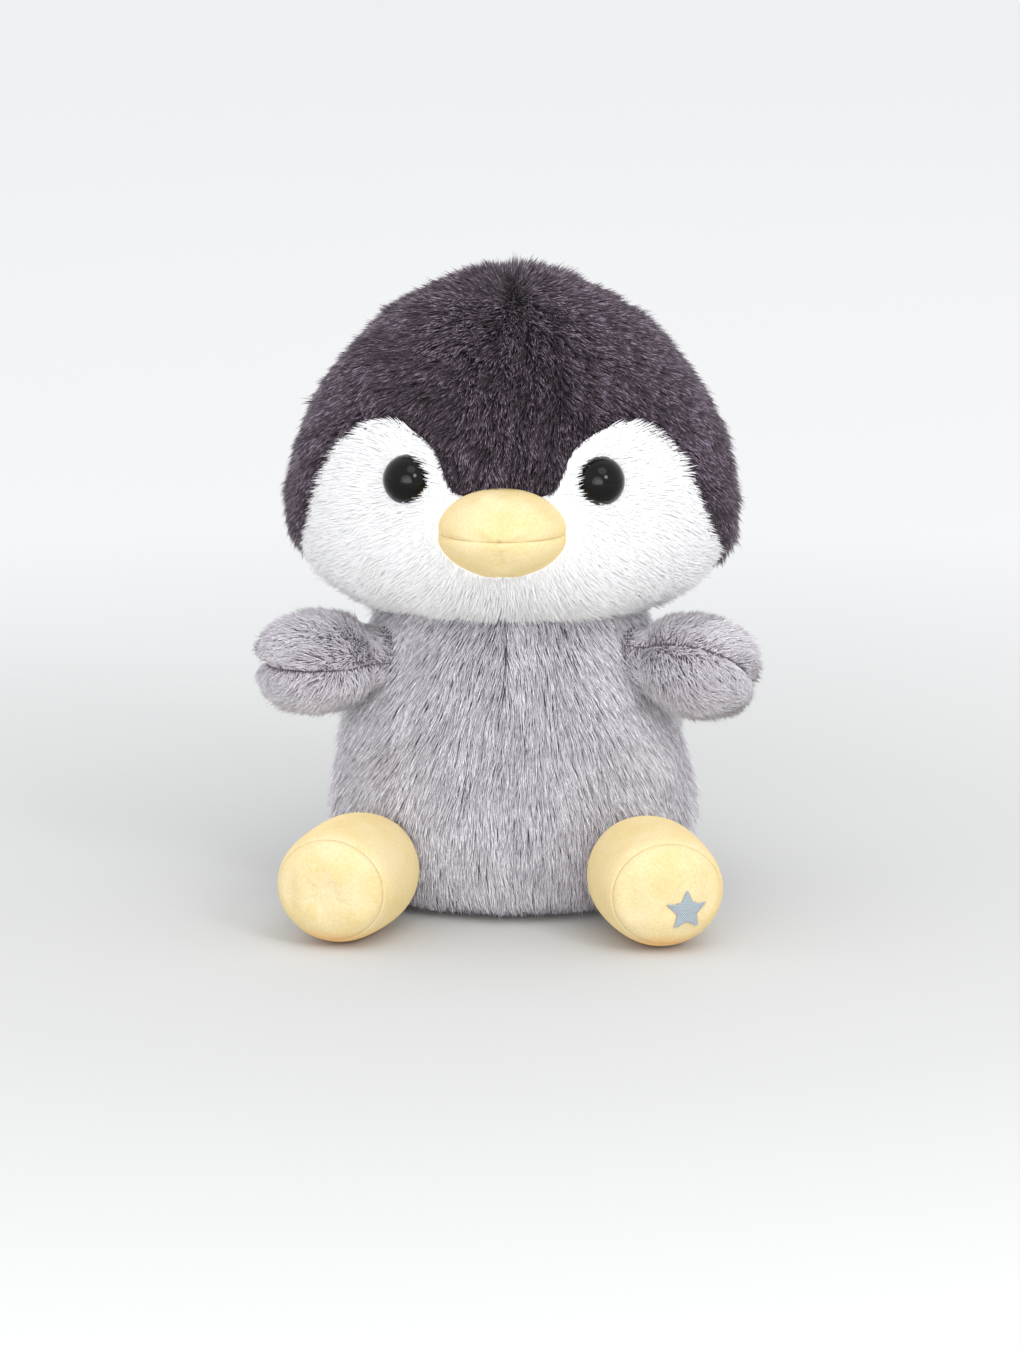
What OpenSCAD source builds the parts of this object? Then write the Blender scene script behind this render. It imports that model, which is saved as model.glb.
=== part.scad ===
// Seated plush penguin, sewn from fur and velour panels over fibre stuffing.
// Millimetres, +Z up, facing -Y. The origin is on the floor, under the middle of the toy's box.
//
// Every fabric panel is a thin solid between an outer and an inner grid of points, made by skin().
// Neighbouring panels take the points of their common seam from the same function, so they meet
// face to face. The stuffing of each part is one solid just inside its panels, made by filling().

/* [Head] */
// Half width of the head at its widest line, without the pile
head_half_w = 63.5; // [61:0.5:65]
// Half depth of the head, front to back
head_half_d = 56; // [54:0.5:58]
// Height of the widest line of the head above the floor
head_line_z = 114; // [112:0.5:116]
// Height of the crown above the widest line
head_high = 68.5; // [66:0.5:70]
// Depth of the chin below the widest line
head_low = 31; // [30:0.5:32]
// Squareness of the cheeks below the widest line, 2 being an ellipse
cheek_power = 2.4; // [2.2:0.1:2.6]
// Squareness of the dome above the widest line
crown_power = 1.82; // [1.8:0.02:2]
// How far the crown, where the cap panels meet, leans forward
crown_tilt = 12; // [0:1:20]

/* [Body] */
// Half width of the body at the belly
belly_half_w = 51.5; // [50:0.5:53]
// Height of the belly's widest line
belly_z = 26; // [24:0.5:28]
// Half width of the flat base
base_half_w = 38; // [36:0.5:40]
// Depth of the body as a share of its width
body_depth_share = 0.92; // [0.9:0.01:0.95]
// Height of the neck's turning centre
neck_z = 66; // [65:0.5:67]
// Radius of the round shoulders about the neck's turning centre
shoulder_r = 41; // [40:0.5:41.5]
// Angle from the front to the side seam, which runs through the armhole
side_seam = 70; // [66:1:74]

/* [Arms] */
// Half length of an arm's pod
arm_half_l = 17; // [16:0.5:18]
// Half width of an arm, measured level
arm_half_w = 15.8; // [15:0.2:16.4]
// Half height of an arm
arm_half_h = 13.5; // [13:0.5:14]
// Height of the armhole's centre
arm_z = 72.5; // [71.5:0.5:73.5]
// Angle from the front to the way an arm points
arm_heading = 64; // [62:1:68]
// Radius of the rounded root that sits in the armhole
arm_root_r = 9; // [8:0.5:9.5]
// How far the right arm's seam is turned about the arm
right_arm_roll = -35; // [-45:5:0]

/* [Feet] */
// Length of a foot from its turning centre to the sole's edge
foot_l = 42; // [40:0.5:44]
// Half width of a foot
foot_half_w = 18.5; // [17.5:0.5:19]
// Half height of a foot, and the height of its centre line
foot_half_h = 17; // [16:0.5:17.5]
// How far the middle of the sole stands out from its edge
sole_crown = 5; // [3:0.5:6]
// Toe-out angle
toe_out = 15; // [12:1:18]
// Radius of the rounded root that sits in the leg hole
foot_root_r = 9.5; // [8.5:0.5:10]

/* [Beak and eyes] */
// Half width of the beak
beak_half_w = 19; // [17:0.5:20]
// Half height of the beak
beak_half_h = 13.5; // [12.5:0.5:14.5]
// Height of the beak's seam above the floor
beak_z = 115.5; // [114.5:0.5:117]
// How far the tip of the beak stands out from the face
beak_out = 15.5; // [13:0.5:18]
// Diameter of a safety eye
eye_d = 14; // [12:0.5:14.5]
// Height of the eyes above the floor
eye_z = 129.5; // [128:0.5:131]
// Distance from the face's middle line to an eye
eye_x = 27.5; // [26:0.5:29]

/* [Fabric] */
// Thickness of the fur panels, backing and pressed pile
fur_t = 2.5; // [2:0.25:3]
// Thickness of the arm, beak and foot fabric
velour_t = 2; // [1.5:0.25:2.25]

/* [Hidden] */

$fn = 48;
CAP = [0.29, 0.26, 0.30];
GREY = [0.65, 0.62, 0.65];
ARM_GREY = [0.71, 0.69, 0.71];
WHITE = [0.95, 0.95, 0.95];
YELLOW = [0.98, 0.90, 0.68];
BLACK = [0.05, 0.05, 0.05];
FIBRE = [0.93, 0.93, 0.90];
PLASTIC = [0.82, 0.82, 0.80];
THREAD = [0.55, 0.59, 0.62];

stuffing_gap = 1.0;     // between a panel and the stuffing behind it
socket_gap = 0.5;       // between a rounded root and the hole that it turns in
bottom = -89;           // lowest latitude searched for the head's rim
neck_tilt = 8;          // how far the head nods each way

// Neck: a firm plug with a round foot in the body and a post up into the head.
neck_centre = [0, 0, neck_z];
head_seat_r = shoulder_r + 0.8;
neck_ball_r = 15;
neck_post_r = 11;
neck_post_top = neck_z + 50;
post_gap = 0.4;

// Body profile: the side of the body ends where the round shoulders begin.
shoulder_start = 12;    // angle above the turning centre
collar_angle = 52;      // angle of the neck opening
flank_power = 1.4;

// Arms and feet, each in its own frame: +X runs from the turning centre to the tip.
arm_stand_off = 2.5;    // turning centre of an arm, outside the body's surface
arm_middle = arm_half_l + 0.5;
arm_root_x = 3.5;
arm_power = 2.2;
arm_neck_r = 5;
foot_root_x = 3.5;
foot_full_x = 24;       // where the foot reaches its full section
foot_power = 2.5;
sole_edge = 0.93;       // size of the sole's edge as a share of the full section
sole_power = 2.2;
foot_neck_r = 5.5;
foot_stand_off = 2.5;   // turning centre of a foot, outside the body's surface
leg_x = 36;             // distance from the middle line to a leg hole

label_t = 0.8;
motif_r = 6;
motif_t = 0.8;

head_step = 2;          // grid points per stretch of the cap's edge
arm_dir = [sin(arm_heading), -cos(arm_heading), 0];
foot_dir = [sin(toe_out), -cos(toe_out), 0];

// ---- small geometry helpers ----

function mix(a, b, t) = a * (1 - t) + b * t;
function steps(a, b, n) = [for (i = [0:n]) mix(a, b, i / n)];
function signed_pow(v, p) = sign(v) * pow(abs(v), p);

// A point between two unit vectors, along the great circle.
function arc(a, b, t) =
    let (w = acos(min(1, a * b)))
    w < 0.01 ? a : (a * sin((1 - t) * w) + b * sin(t * w)) / sin(w);

// Smooth curve through a list of points, with t from 0 to len(p) - 1.
function curve(p, t) =
    let (
        i = min(floor(t), len(p) - 2),
        f = t - i,
        a = p[max(i - 1, 0)],
        b = p[i],
        c = p[i + 1],
        d = p[min(i + 2, len(p) - 1)]
    )
    0.5 * (2 * b + (c - a) * f + (2 * a - 5 * b + 4 * c - d) * f * f + (3 * b - a - 3 * c + d) * f * f * f);

// ---- solids from grids ----

// Grid rows run downwards and columns run to the right, seen from outside the toy.
// With apex, the first row is one point. With ring, the last column joins the first.
function grid_points(rows, apex) = [
    if (apex) rows[0][0],
    for (i = [apex ? 1 : 0:len(rows) - 1]) each rows[i]
];
function grid_index(i, j, cols, apex) =
    apex ? (i == 0 ? 0 : 1 + (i - 1) * cols + j % cols) : i * cols + j % cols;

// Triangle indices of a four-sided cell, cut along its shorter diagonal, or of three corners where
// two of the four are one point.
function cell(p, a, b, c, d) =
    a == b ? [[a, c, d]] :
    norm(p[a] - p[c]) <= norm(p[b] - p[d]) ? [[a, b, c], [a, c, d]] : [[a, b, d], [b, c, d]];
function turned(faces) = [for (f = faces) [f[0], f[2], f[1]]];

function sheet_faces(p, rows, cols, apex, ring) = [
    for (i = [0:rows - 2], j = [0:cols - (ring ? 1 : 2)])
        each cell(
            p,
            grid_index(i, j, cols, apex), grid_index(i, j + 1, cols, apex),
            grid_index(i + 1, j + 1, cols, apex), grid_index(i + 1, j, cols, apex)
        )
];

// The wall that closes two grids along a run of edge points, n being the points in one grid.
function edge_faces(run, n) = [
    for (k = [0:len(run) - 2])
        each [[run[k], run[k] + n, run[k + 1] + n], [run[k], run[k + 1] + n, run[k + 1]]]
];

// A panel: the solid between the outer and the inner grid.
module skin(outer, inner, apex = false, ring = false) {
    rows = len(outer);
    cols = len(outer[rows - 1]);
    n = apex ? 1 + (rows - 1) * cols : rows * cols;
    last = ring ? cols : cols - 1;
    top_run = [for (j = [0:last]) grid_index(0, j, cols, false)];
    foot_run = [for (j = [last:-1:0]) grid_index(rows - 1, j, cols, apex)];
    right_run = [for (i = [0:rows - 1]) grid_index(i, cols - 1, cols, apex)];
    left_run = [for (i = [rows - 1:-1:0]) grid_index(i, 0, cols, apex)];
    outer_points = grid_points(outer, apex);
    front = sheet_faces(outer_points, rows, cols, apex, ring);
    back = [for (f = turned(front)) [f[0] + n, f[1] + n, f[2] + n]];
    polyhedron(
        points = concat(outer_points, grid_points(inner, apex)),
        faces = concat(
            front, back,
            apex ? [] : edge_faces(top_run, n),
            edge_faces(foot_run, n),
            ring ? [] : edge_faces(right_run, n),
            ring ? [] : edge_faces(left_run, n)
        ),
        convexity = 6
    );
}

// A stuffing: rings from the top point to the bottom point, closed all round.
module filling(top_point, rings, bottom_point) {
    cols = len(rings[0]);
    low = 1 + len(rings) * cols;
    start = low - cols;
    points = concat([top_point], [for (r = rings) each r], [bottom_point]);
    polyhedron(
        points = points,
        faces = concat(
            sheet_faces(points, len(rings) + 1, cols, true, true),
            [for (j = [0:cols - 1]) [start + j, start + (j + 1) % cols, low]]
        ),
        convexity = 6
    );
}

// ---- head surface ----

function direction(theta, phi) = [cos(phi) * sin(theta), -cos(phi) * cos(theta), sin(phi)];
function head_power(h) = h < 0 ? cheek_power : crown_power;
function head_share(z) = (z - head_line_z) / (z < head_line_z ? head_low : head_high);
function latitude(z) = asin(signed_pow(head_share(z), head_power(z - head_line_z) / 2));

// The point of the head's surface in a direction, with the surface moved inwards by inset.
function on_head(u, inset = 0) =
    let (
        power = head_power(u.z),
        level = norm([u.x, u.y]),
        widen = level < 0.0001 ? 0 : pow(level, 2 / power - 1),
        rise = signed_pow(u.z, 2 / power) * ((u.z < 0 ? head_low : head_high) - inset)
    )
    [(head_half_w - inset) * u.x * widen, (head_half_d - inset) * u.y * widen, head_line_z + rise];

// Size of the head's level section at a height, as a share of its widest.
function head_level(z) =
    let (power = head_power(z - head_line_z)) pow(1 - pow(abs(head_share(z)), power), 1 / power);

// The face's y at a height and a distance from the middle line.
function face_y(x, z) = -head_half_d * sqrt(max(0, pow(head_level(z), 2) - pow(x / head_half_w, 2)));

// Latitude at which the head's surface meets the ball that it turns on.
function rim_latitude(theta, inset, r, low = bottom, high = -20, n = 22) =
    n == 0 ? (low + high) / 2 :
    let (
        middle = (low + high) / 2,
        outside = norm(on_head(direction(theta, middle), inset) - neck_centre) > r
    )
    rim_latitude(theta, inset, r, outside ? low : middle, outside ? middle : high, n - 1);
function rim(theta) = direction(theta, rim_latitude(theta, 0, head_seat_r));

// Where the dark cap meets the white face, as angle from the front and height:
// flat under the beak, up over the eye patch, down the cheek, and back to the neck.
cap_back = 97;
cap_edge = [
    for (k = [[0, 126], [13, 126.5], [21, 139], [37, 144.5], [52, 138], [60, 123], [67, 110], [80, 101]])
        [k[0], latitude(k[1])],
    [cap_back, rim_latitude(cap_back, 0, head_seat_r)]
];
edge_n = head_step * (len(cap_edge) - 1);
function cap_edge_at(k) = curve(cap_edge, k / head_step);
function cap_edge_dir(k) = direction(cap_edge_at(k)[0], cap_edge_at(k)[1]);
function mirrored(u) = [-u.x, u.y, u.z];

crown = direction(0, 90 - crown_tilt);
cap_rows = 12;
face_rows = 5;
back_cols = 9;

forehead_foot = [
    for (k = [edge_n:-1:1]) mirrored(cap_edge_dir(k)),
    for (k = [0:edge_n]) cap_edge_dir(k)
];
// Straight down from the crown to a point above the widest line; below it, down the side of the head.
function from_crown(u, t) =
    let (
        level = norm([u.x, u.y]),
        waist = u.z < 0 ? [u.x, u.y, 0] / level : u,
        share = u.z < 0 ? 90 / (90 - asin(u.z)) : 1
    )
    t <= share ? arc(crown, waist, t / share) : arc(waist, u, (t - share) / (1 - share));
function crown_fan(foot, inset) = [
    for (i = [0:cap_rows]) [for (u = foot) on_head(from_crown(u, i / cap_rows), inset)]
];
function face_grid(inset) = [
    for (k = [edge_n:-1:0])
        let (edge = cap_edge_at(k), low = rim(edge[0]))
        [for (j = [0:face_rows]) on_head(arc(cap_edge_dir(k), low, j / face_rows), inset)]
];

module cap_forehead() {
    color(CAP) skin(crown_fan(forehead_foot, 0), crown_fan(forehead_foot, fur_t), apex = true);
}

module cap_back() {
    foot = [for (theta = steps(cap_back, 180, back_cols)) rim(theta)];
    color(CAP) skin(crown_fan(foot, 0), crown_fan(foot, fur_t), apex = true);
}

module face() {
    color(WHITE) difference() {
        skin(face_grid(0), face_grid(fur_t), apex = true);
        at_eye() cylinder(r = shank_hole_r, h = 20, center = true);
    }
}

// Fibre ball of the head: outside under the panels, then up over the neck's seat to its middle.
head_fill_inset = fur_t + stuffing_gap;
head_fill_seat_r = head_seat_r + 0.2;
function head_fill_ring(part, cols) = [
    for (theta = [0:360 / cols:359])
        let (
            low = rim_latitude(theta, head_fill_inset, head_fill_seat_r),
            edge = on_head(direction(theta, low), head_fill_inset) - neck_centre,
            edge_angle = asin(edge.z / norm(edge)),
            seat_angle = mix(edge_angle, 90, part - 1)
        )
        part <= 1
            ? on_head(direction(theta, mix(90, low, part)), head_fill_inset)
            : neck_centre + head_fill_seat_r * direction(theta, seat_angle)
];

module head_stuffing() {
    parts = concat(steps(0.1, 1, 11), steps(1.2, 1.8, 3));
    top = on_head(direction(0, 90), head_fill_inset);
    seat_top = neck_centre + [0, 0, head_fill_seat_r];
    color(FIBRE) difference() {
        filling(top, [for (p = parts) head_fill_ring(p, 28)], seat_top);
        translate([0, 0, neck_post_top - 20]) cylinder(r = neck_post_r + post_gap, h = 21);
        for (side = [0, 1]) {
            mirror([side, 0, 0]) at_eye() {
                translate([0, 0, -shank_l - 1]) cylinder(r = shank_rib_r + 0.4, h = shank_l + 5);
                translate([0, 0, -washer_in - washer_t - washer_collar_h - 0.3])
                    cylinder(r = washer_r + 0.4, h = 20);
            }
        }
    }
}

// ---- eyes, with their own +Z out of the face ----

eye_dome_h = 5.5;
eye_rim_h = 1;
shank_l = 13;
shank_r = 1.9;
shank_rib_r = 2.3;
shank_hole_r = 2.6;
washer_r = 7.5;
washer_t = 1.4;
washer_collar_h = 2;
washer_in = fur_t + 1.4;

eye_at = [eye_x, face_y(eye_x, eye_z), eye_z];
eye_level = pow(head_level(eye_z), crown_power - 2);
eye_out = [
    eye_level * eye_at.x / pow(head_half_w, 2),
    eye_level * eye_at.y / pow(head_half_d, 2),
    pow(head_share(eye_z), crown_power - 1) / head_high
];

// Puts its children on the right eye's place, standing on the face.
module at_eye() {
    translate(eye_at)
        rotate([0, acos(eye_out.z / norm(eye_out)), atan2(eye_out.y, eye_out.x)])
            children();
}

module eye() {
    dome_r = (pow(eye_d / 2, 2) + pow(eye_dome_h, 2)) / (2 * eye_dome_h);
    color(BLACK) at_eye() translate([0, 0, 0.15]) {
        intersection() {
            translate([0, 0, eye_rim_h + eye_dome_h - dome_r]) sphere(r = dome_r);
            translate([0, 0, eye_rim_h]) cylinder(r = eye_d, h = eye_d);
        }
        cylinder(r = eye_d / 2, h = eye_rim_h);
        translate([0, 0, -shank_l]) cylinder(r = shank_r, h = shank_l);
        for (k = [0:3]) {
            translate([0, 0, -shank_l + 1 + 2 * k]) cylinder(r = shank_rib_r, h = 1);
        }
    }
}

module eye_washer() {
    color(PLASTIC) at_eye() translate([0, 0, -washer_in]) difference() {
        union() {
            translate([0, 0, -washer_t]) cylinder(r = washer_r, h = washer_t);
            translate([0, 0, -washer_t - washer_collar_h]) cylinder(r = 4.2, h = washer_collar_h + washer_t / 2);
        }
        cylinder(r = shank_rib_r + 0.1, h = 12, center = true);
    }
}

// ---- beak ----

beak_back = 2;          // depth of the beak's centre behind the face's surface
beak_gap = 0.3;
beak_cols = 14;
beak_rows = 5;
beak_centre = [0, face_y(0, beak_z) + beak_back, beak_z];
beak_half_d = beak_out + beak_back;

function on_beak(q, psi, inset) = beak_centre + [
    (beak_half_w - inset) * sin(q) * cos(psi),
    -(beak_half_d - inset) * cos(q),
    (beak_half_h - inset) * sin(q) * sin(psi)
];

// Angle from the tip at which the beak's surface meets the face.
function beak_rim(psi, inset, low = 30, high = 90, n = 20) =
    n == 0 ? (low + high) / 2 :
    let (
        middle = (low + high) / 2,
        p = on_beak(middle, psi, inset),
        clear = p.y < face_y(p.x, p.z) - beak_gap
    )
    beak_rim(psi, inset, clear ? middle : low, clear ? high : middle, n - 1);
function beak_ring(part, from, to, cols, inset) = [
    for (psi = steps(from, to, cols)) on_beak(part * beak_rim(psi, inset), psi, inset)
];
function beak_grid(from, to, inset) =
    [for (part = steps(0, 1, beak_rows)) beak_ring(part, from, to, beak_cols, inset)];

module beak_upper() {
    color(YELLOW) skin(beak_grid(0, 180, 0), beak_grid(0, 180, velour_t), apex = true);
}

module beak_lower() {
    color(YELLOW) skin(beak_grid(180, 360, 0), beak_grid(180, 360, velour_t), apex = true);
}

module beak_stuffing() {
    inset = velour_t + stuffing_gap;
    cols = 20;
    psi_step = 360 / cols;
    front = [for (part = steps(0.2, 1, 4)) beak_ring(part, 0, 360 - psi_step, cols - 1, inset)];
    back = [
        for (part = [0.66, 0.33])
            [for (p = front[4]) let (x = p.x * part, z = mix(beak_z, p.z, part)) [x, face_y(x, z) - beak_gap, z]]
    ];
    color(FIBRE) filling(
        on_beak(0, 0, inset), concat(front, back), [0, face_y(0, beak_z) - beak_gap, beak_z]
    );
}

// ---- neck ----

module neck_stuffing() {
    color(FIBRE) translate(neck_centre) {
        sphere(r = neck_ball_r);
        cylinder(r = neck_post_r, h = neck_post_top - neck_z);
    }
}

// ---- body ----

// The body's outline at s: 0 to 1 is the rounded bottom edge, 1 to 2 the side, and beyond 2 the shoulders,
// whose angle reaches the collar at 3.
function body_outline(s, inset) =
    let (
        r = shoulder_r - inset,
        top_w = r * cos(shoulder_start),
        top_z = neck_z + r * sin(shoulder_start),
        angle = mix(shoulder_start, collar_angle, s - 2)
    )
    s <= 1 ? [
        base_half_w + (belly_half_w - base_half_w - inset) * sin(90 * s),
        inset + (belly_z - inset) * (1 - cos(90 * s))
    ] :
    s <= 2 ? [
        mix(belly_half_w - inset, top_w, pow(s - 1, flank_power)),
        mix(belly_z, top_z, s - 1)
    ] :
    [r * cos(angle), neck_z + r * sin(angle)];

function body_share(s) = s <= 1 ? body_depth_share : s >= 2 ? 1 : mix(body_depth_share, 1, s - 1);
function on_body(theta, s, inset) =
    let (w = body_outline(s, inset))
    [w[0] * sin(theta), -w[0] * body_share(s) * cos(theta), w[1]];

body_rows = concat(steps(3, 2, 4), steps(1.86, 1, 6), [for (k = [5:-1:0]) k / 6]);
function body_grid(from, to, cols, inset) =
    [for (s = body_rows) [for (theta = steps(from, to, cols)) on_body(theta, s, inset)]];

module body_panel(from, to, cols) {
    color(GREY) difference() {
        skin(body_grid(from, to, cols, 0), body_grid(from, to, cols, fur_t));
        limb_holes();
    }
}

module body_front() {
    body_panel(0, side_seam, 7);
}

module body_back() {
    body_panel(side_seam, 180, 11);
}

module base_panel() {
    color(GREY) linear_extrude(height = fur_t)
        polygon([
            for (theta = [0:10:350])
                (base_half_w - 0.3) * [sin(theta), -body_depth_share * cos(theta)]
        ]);
}

body_fill_inset = fur_t + stuffing_gap;
module body_stuffing() {
    shoulder_top = neck_centre + [0, 0, shoulder_r - body_fill_inset];
    rows = concat(steps(3.75, 3.2, 2), body_rows);
    rings = [
        for (s = rows) [for (theta = [0:15:345]) on_body(theta, s, body_fill_inset)]
    ];
    color(FIBRE) difference() {
        filling(shoulder_top, rings, [0, 0, body_fill_inset]);
        for (side = [0, 1]) {
            mirror([side, 0, 0]) limb_holes();
        }
        translate(neck_centre) {
            sphere(r = neck_ball_r + socket_gap);
            cylinder(r1 = neck_post_r + 1, r2 = neck_post_r + 1 + shoulder_r * tan(neck_tilt + 2), h = shoulder_r);
        }
    }
}

// Plain blank woven label, caught in the back seam and lying along the body.
function label_grid(out) = [
    for (s = steps(0.95, 0.62, 3))
        [for (theta = steps(152, 178.5, 6)) on_body(theta, s, -out - 4 * (178.5 - theta) / 26)]
];
module care_label() {
    color(WHITE) skin(label_grid(0.4 + label_t), label_grid(0.4));
}

// ---- arms ----

arm_root_angle = acos(-pow((arm_middle - arm_root_x) / arm_half_l, arm_power / 2));
arm_rows = 8;
arm_cols = 12;
function arm_ring(part, from, to, cols, inset) =
    let (
        tau = part * arm_root_angle,
        x = arm_middle + (arm_half_l - inset) * signed_pow(cos(tau), 2 / arm_power),
        size = pow(sin(tau), 2 / arm_power)
    )
    [
        for (psi = steps(from, to, cols))
            [x, (arm_half_w - inset) * size * cos(psi), (arm_half_h - inset) * size * sin(psi)]
    ];
function arm_grid(inset) =
    [for (part = steps(0, 1, arm_rows)) arm_ring(part, 0, 180, arm_cols, inset)];

module arm_half() {
    color(ARM_GREY) skin(arm_grid(0), arm_grid(velour_t), apex = true);
}

// Rings of a limb's rounded root, after the last ring of the limb's stuffing: in to its neck, back along
// it, out to the ball about the origin, and round the ball. They all have cols points.
function round_ring(x, r, cols) = [for (k = [0:cols - 1]) let (a = 360 * k / cols) [x, r * cos(a), r * sin(a)]];
function root_rings(r, from_x, neck_r, cols) =
    let (start = acos((from_x - 0.6) / r))
    concat(
        [round_ring(from_x, neck_r, cols), round_ring(from_x - 0.6, neck_r, cols)],
        [for (a = steps(start, 160, 6)) round_ring(r * cos(a), r * sin(a), cols)]
    );

module arm_stuffing() {
    inset = velour_t + stuffing_gap;
    cols = 18;
    rings = [for (part = steps(0.14, 1, 6)) arm_ring(part, 0, 360 - 360 / cols, cols - 1, inset)];
    color(FIBRE) filling(
        [arm_middle + arm_half_l - inset, 0, 0],
        concat(rings, root_rings(arm_root_r, rings[6][0].x, arm_neck_r, cols)),
        [-arm_root_r, 0, 0]
    );
}

// Turning centre of the right arm, in the armhole on the side of the body.
arm_centre =
    let (r = sqrt(pow(shoulder_r, 2) - pow(arm_z - neck_z, 2)) + arm_stand_off)
    [r * arm_dir.x, r * arm_dir.y, arm_z];

module at_right_arm(roll) {
    translate(arm_centre) rotate([0, 0, arm_heading - 90]) rotate([roll, 0, 0]) children();
}

module at_left_arm() {
    mirror([1, 0, 0]) at_right_arm(0) children();
}

// ---- feet ----

foot_cols = 20;
// The foot's outline at s: 0 to 1 is the sole from its middle to its edge, 1 to 2 the wall to the root.
function foot_ring(s, cols, inset) =
    let (
        along = mix(foot_l, foot_root_x, s - 1),
        share = s <= 1 ? s * sole_edge : foot_share(along),
        x = s <= 1
            ? foot_l - inset + sole_crown * (1 - pow(s, sole_power))
            : along - inset * (along - foot_root_x) / (foot_l - foot_root_x)
    )
    [
        for (psi = [0:360 / cols:359])
            [x, (foot_half_w - inset) * share * cos(psi), (foot_half_h - inset) * share * sin(psi)]
    ];
function foot_share(x) =
    x < foot_full_x
        ? pow(1 - pow((foot_full_x - x) / foot_full_x, foot_power), 1 / foot_power)
        : 1 - (1 - sole_edge) * pow((x - foot_full_x) / (foot_l - foot_full_x), 2);

sole_rows = [for (k = [0:4]) k / 4];
wall_rows = concat(steps(1, 1.5, 3), steps(1.66, 2, 4));

module foot_sole() {
    color(YELLOW) skin(
        [for (s = sole_rows) foot_ring(s, foot_cols, 0)],
        [for (s = sole_rows) foot_ring(s, foot_cols, velour_t)],
        apex = true, ring = true
    );
}

module foot_wall() {
    color(YELLOW) skin(
        [for (s = wall_rows) foot_ring(s, foot_cols, 0)],
        [for (s = wall_rows) foot_ring(s, foot_cols, velour_t)],
        ring = true
    );
}

module foot_stuffing() {
    inset = velour_t + stuffing_gap;
    cols = 18;
    rings = [for (s = concat([0.4, 0.75], wall_rows)) foot_ring(s, cols, inset)];
    color(FIBRE) filling(
        [foot_l - inset + sole_crown, 0, 0],
        concat(rings, root_rings(foot_root_r, foot_root_x, foot_neck_r, cols)),
        [-foot_root_r, 0, 0]
    );
}

foot_centre =
    let (
        s = acos(1 - foot_half_h / belly_z) / 90,
        w = body_outline(s, 0)[0],
        y = -w * body_depth_share * sqrt(1 - pow(leg_x / w, 2))
    )
    [leg_x, y, foot_half_h] + foot_stand_off * foot_dir;

module at_right_foot() {
    translate(foot_centre) rotate([0, 0, toe_out - 90]) children();
}

module at_left_foot() {
    mirror([1, 0, 0]) at_right_foot() children();
}

// Five-pointed star, satin-stitched on the outer lower part of the right sole.
module foot_motif() {
    spot = [4.5, -4];
    r = norm(spot);
    edge_r = foot_half_h * sole_edge;
    lift = foot_l + sole_crown * (1 - pow(r / edge_r, sole_power));
    slope = sole_crown * sole_power * pow(r / edge_r, sole_power - 1) / edge_r;
    out = [1, slope * spot[0] / r, slope * spot[1] / r];
    color(THREAD) at_right_foot()
        translate([lift + 0.2, spot[0], spot[1]])
            rotate([0, acos(out.z / norm(out)), atan2(out.y, out.x)])
                linear_extrude(height = motif_t)
                polygon([
                    for (k = [0:9])
                        (k % 2 == 0 ? motif_r : 0.5 * motif_r) * [cos(36 * k), sin(36 * k)]
                ]);
}

// ---- holes in the body and the placing of the whole toy ----

module limb_holes() {
    translate(arm_centre) sphere(r = arm_root_r + socket_gap);
    translate(foot_centre) sphere(r = foot_root_r + socket_gap);
}

// Moves the toy so that its box is centred over the origin: the soles are in front, the head behind.
sole_reach = max([
    for (q = steps(0, 1, 12))
        (foot_l + sole_crown * (1 - pow(q, sole_power))) * cos(toe_out) + q * sole_edge * foot_half_w * sin(toe_out)
]);
sole_front = foot_centre.y - sole_reach;
module placed() {
    translate([0, -(sole_front + head_half_d) / 2, 0]) children();
}

module left() {
    placed() mirror([1, 0, 0]) children();
}

placed() cap_forehead();
left() cap_back();  // cap_back_left
placed() cap_back();  // cap_back_right
left() face();  // face_left
placed() face();  // face_right
placed() head_stuffing();
left() eye();  // eye_left
placed() eye();  // eye_right
left() eye_washer();  // eye_washer_left
placed() eye_washer();  // eye_washer_right
placed() beak_upper();
placed() beak_lower();
placed() beak_stuffing();
placed() neck_stuffing();
left() body_front();  // body_front_left
placed() body_front();  // body_front_right
left() body_back();  // body_back_left
placed() body_back();  // body_back_right
placed() base_panel();
placed() body_stuffing();
placed() at_left_arm() arm_half();  // arm_left_upper
placed() at_left_arm() mirror([0, 0, 1]) arm_half();  // arm_left_lower
placed() at_left_arm() arm_stuffing();  // arm_left_stuffing
placed() at_right_arm(right_arm_roll) arm_half();  // arm_right_upper
placed() at_right_arm(right_arm_roll) mirror([0, 0, 1]) arm_half();  // arm_right_lower
placed() at_right_arm(right_arm_roll) arm_stuffing();  // arm_right_stuffing
placed() at_left_foot() foot_sole();  // foot_left_sole
placed() at_left_foot() foot_wall();  // foot_left_wall
placed() at_left_foot() foot_stuffing();  // foot_left_stuffing
placed() at_right_foot() foot_sole();  // foot_right_sole
placed() at_right_foot() foot_wall();  // foot_right_wall
placed() at_right_foot() foot_stuffing();  // foot_right_stuffing
placed() foot_motif();
placed() care_label();
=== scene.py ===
"""Seated plush penguin: fur fabric and velour sewn over fibre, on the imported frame.

Lengths are in millimetres, with the toy's axis at x = y = 0 as in its design, until a mesh is made in metres.
The fabric of each stuffed part is one shell of panels, blown up as cloth that is held at its seams, and then
cut into those panels. The pile is real geometry: tapered strands that follow a flow over each shell.
"""

import bpy
import numpy as np
from mathutils import Matrix, Vector, kdtree
from mathutils.bvhtree import BVHTree

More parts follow.
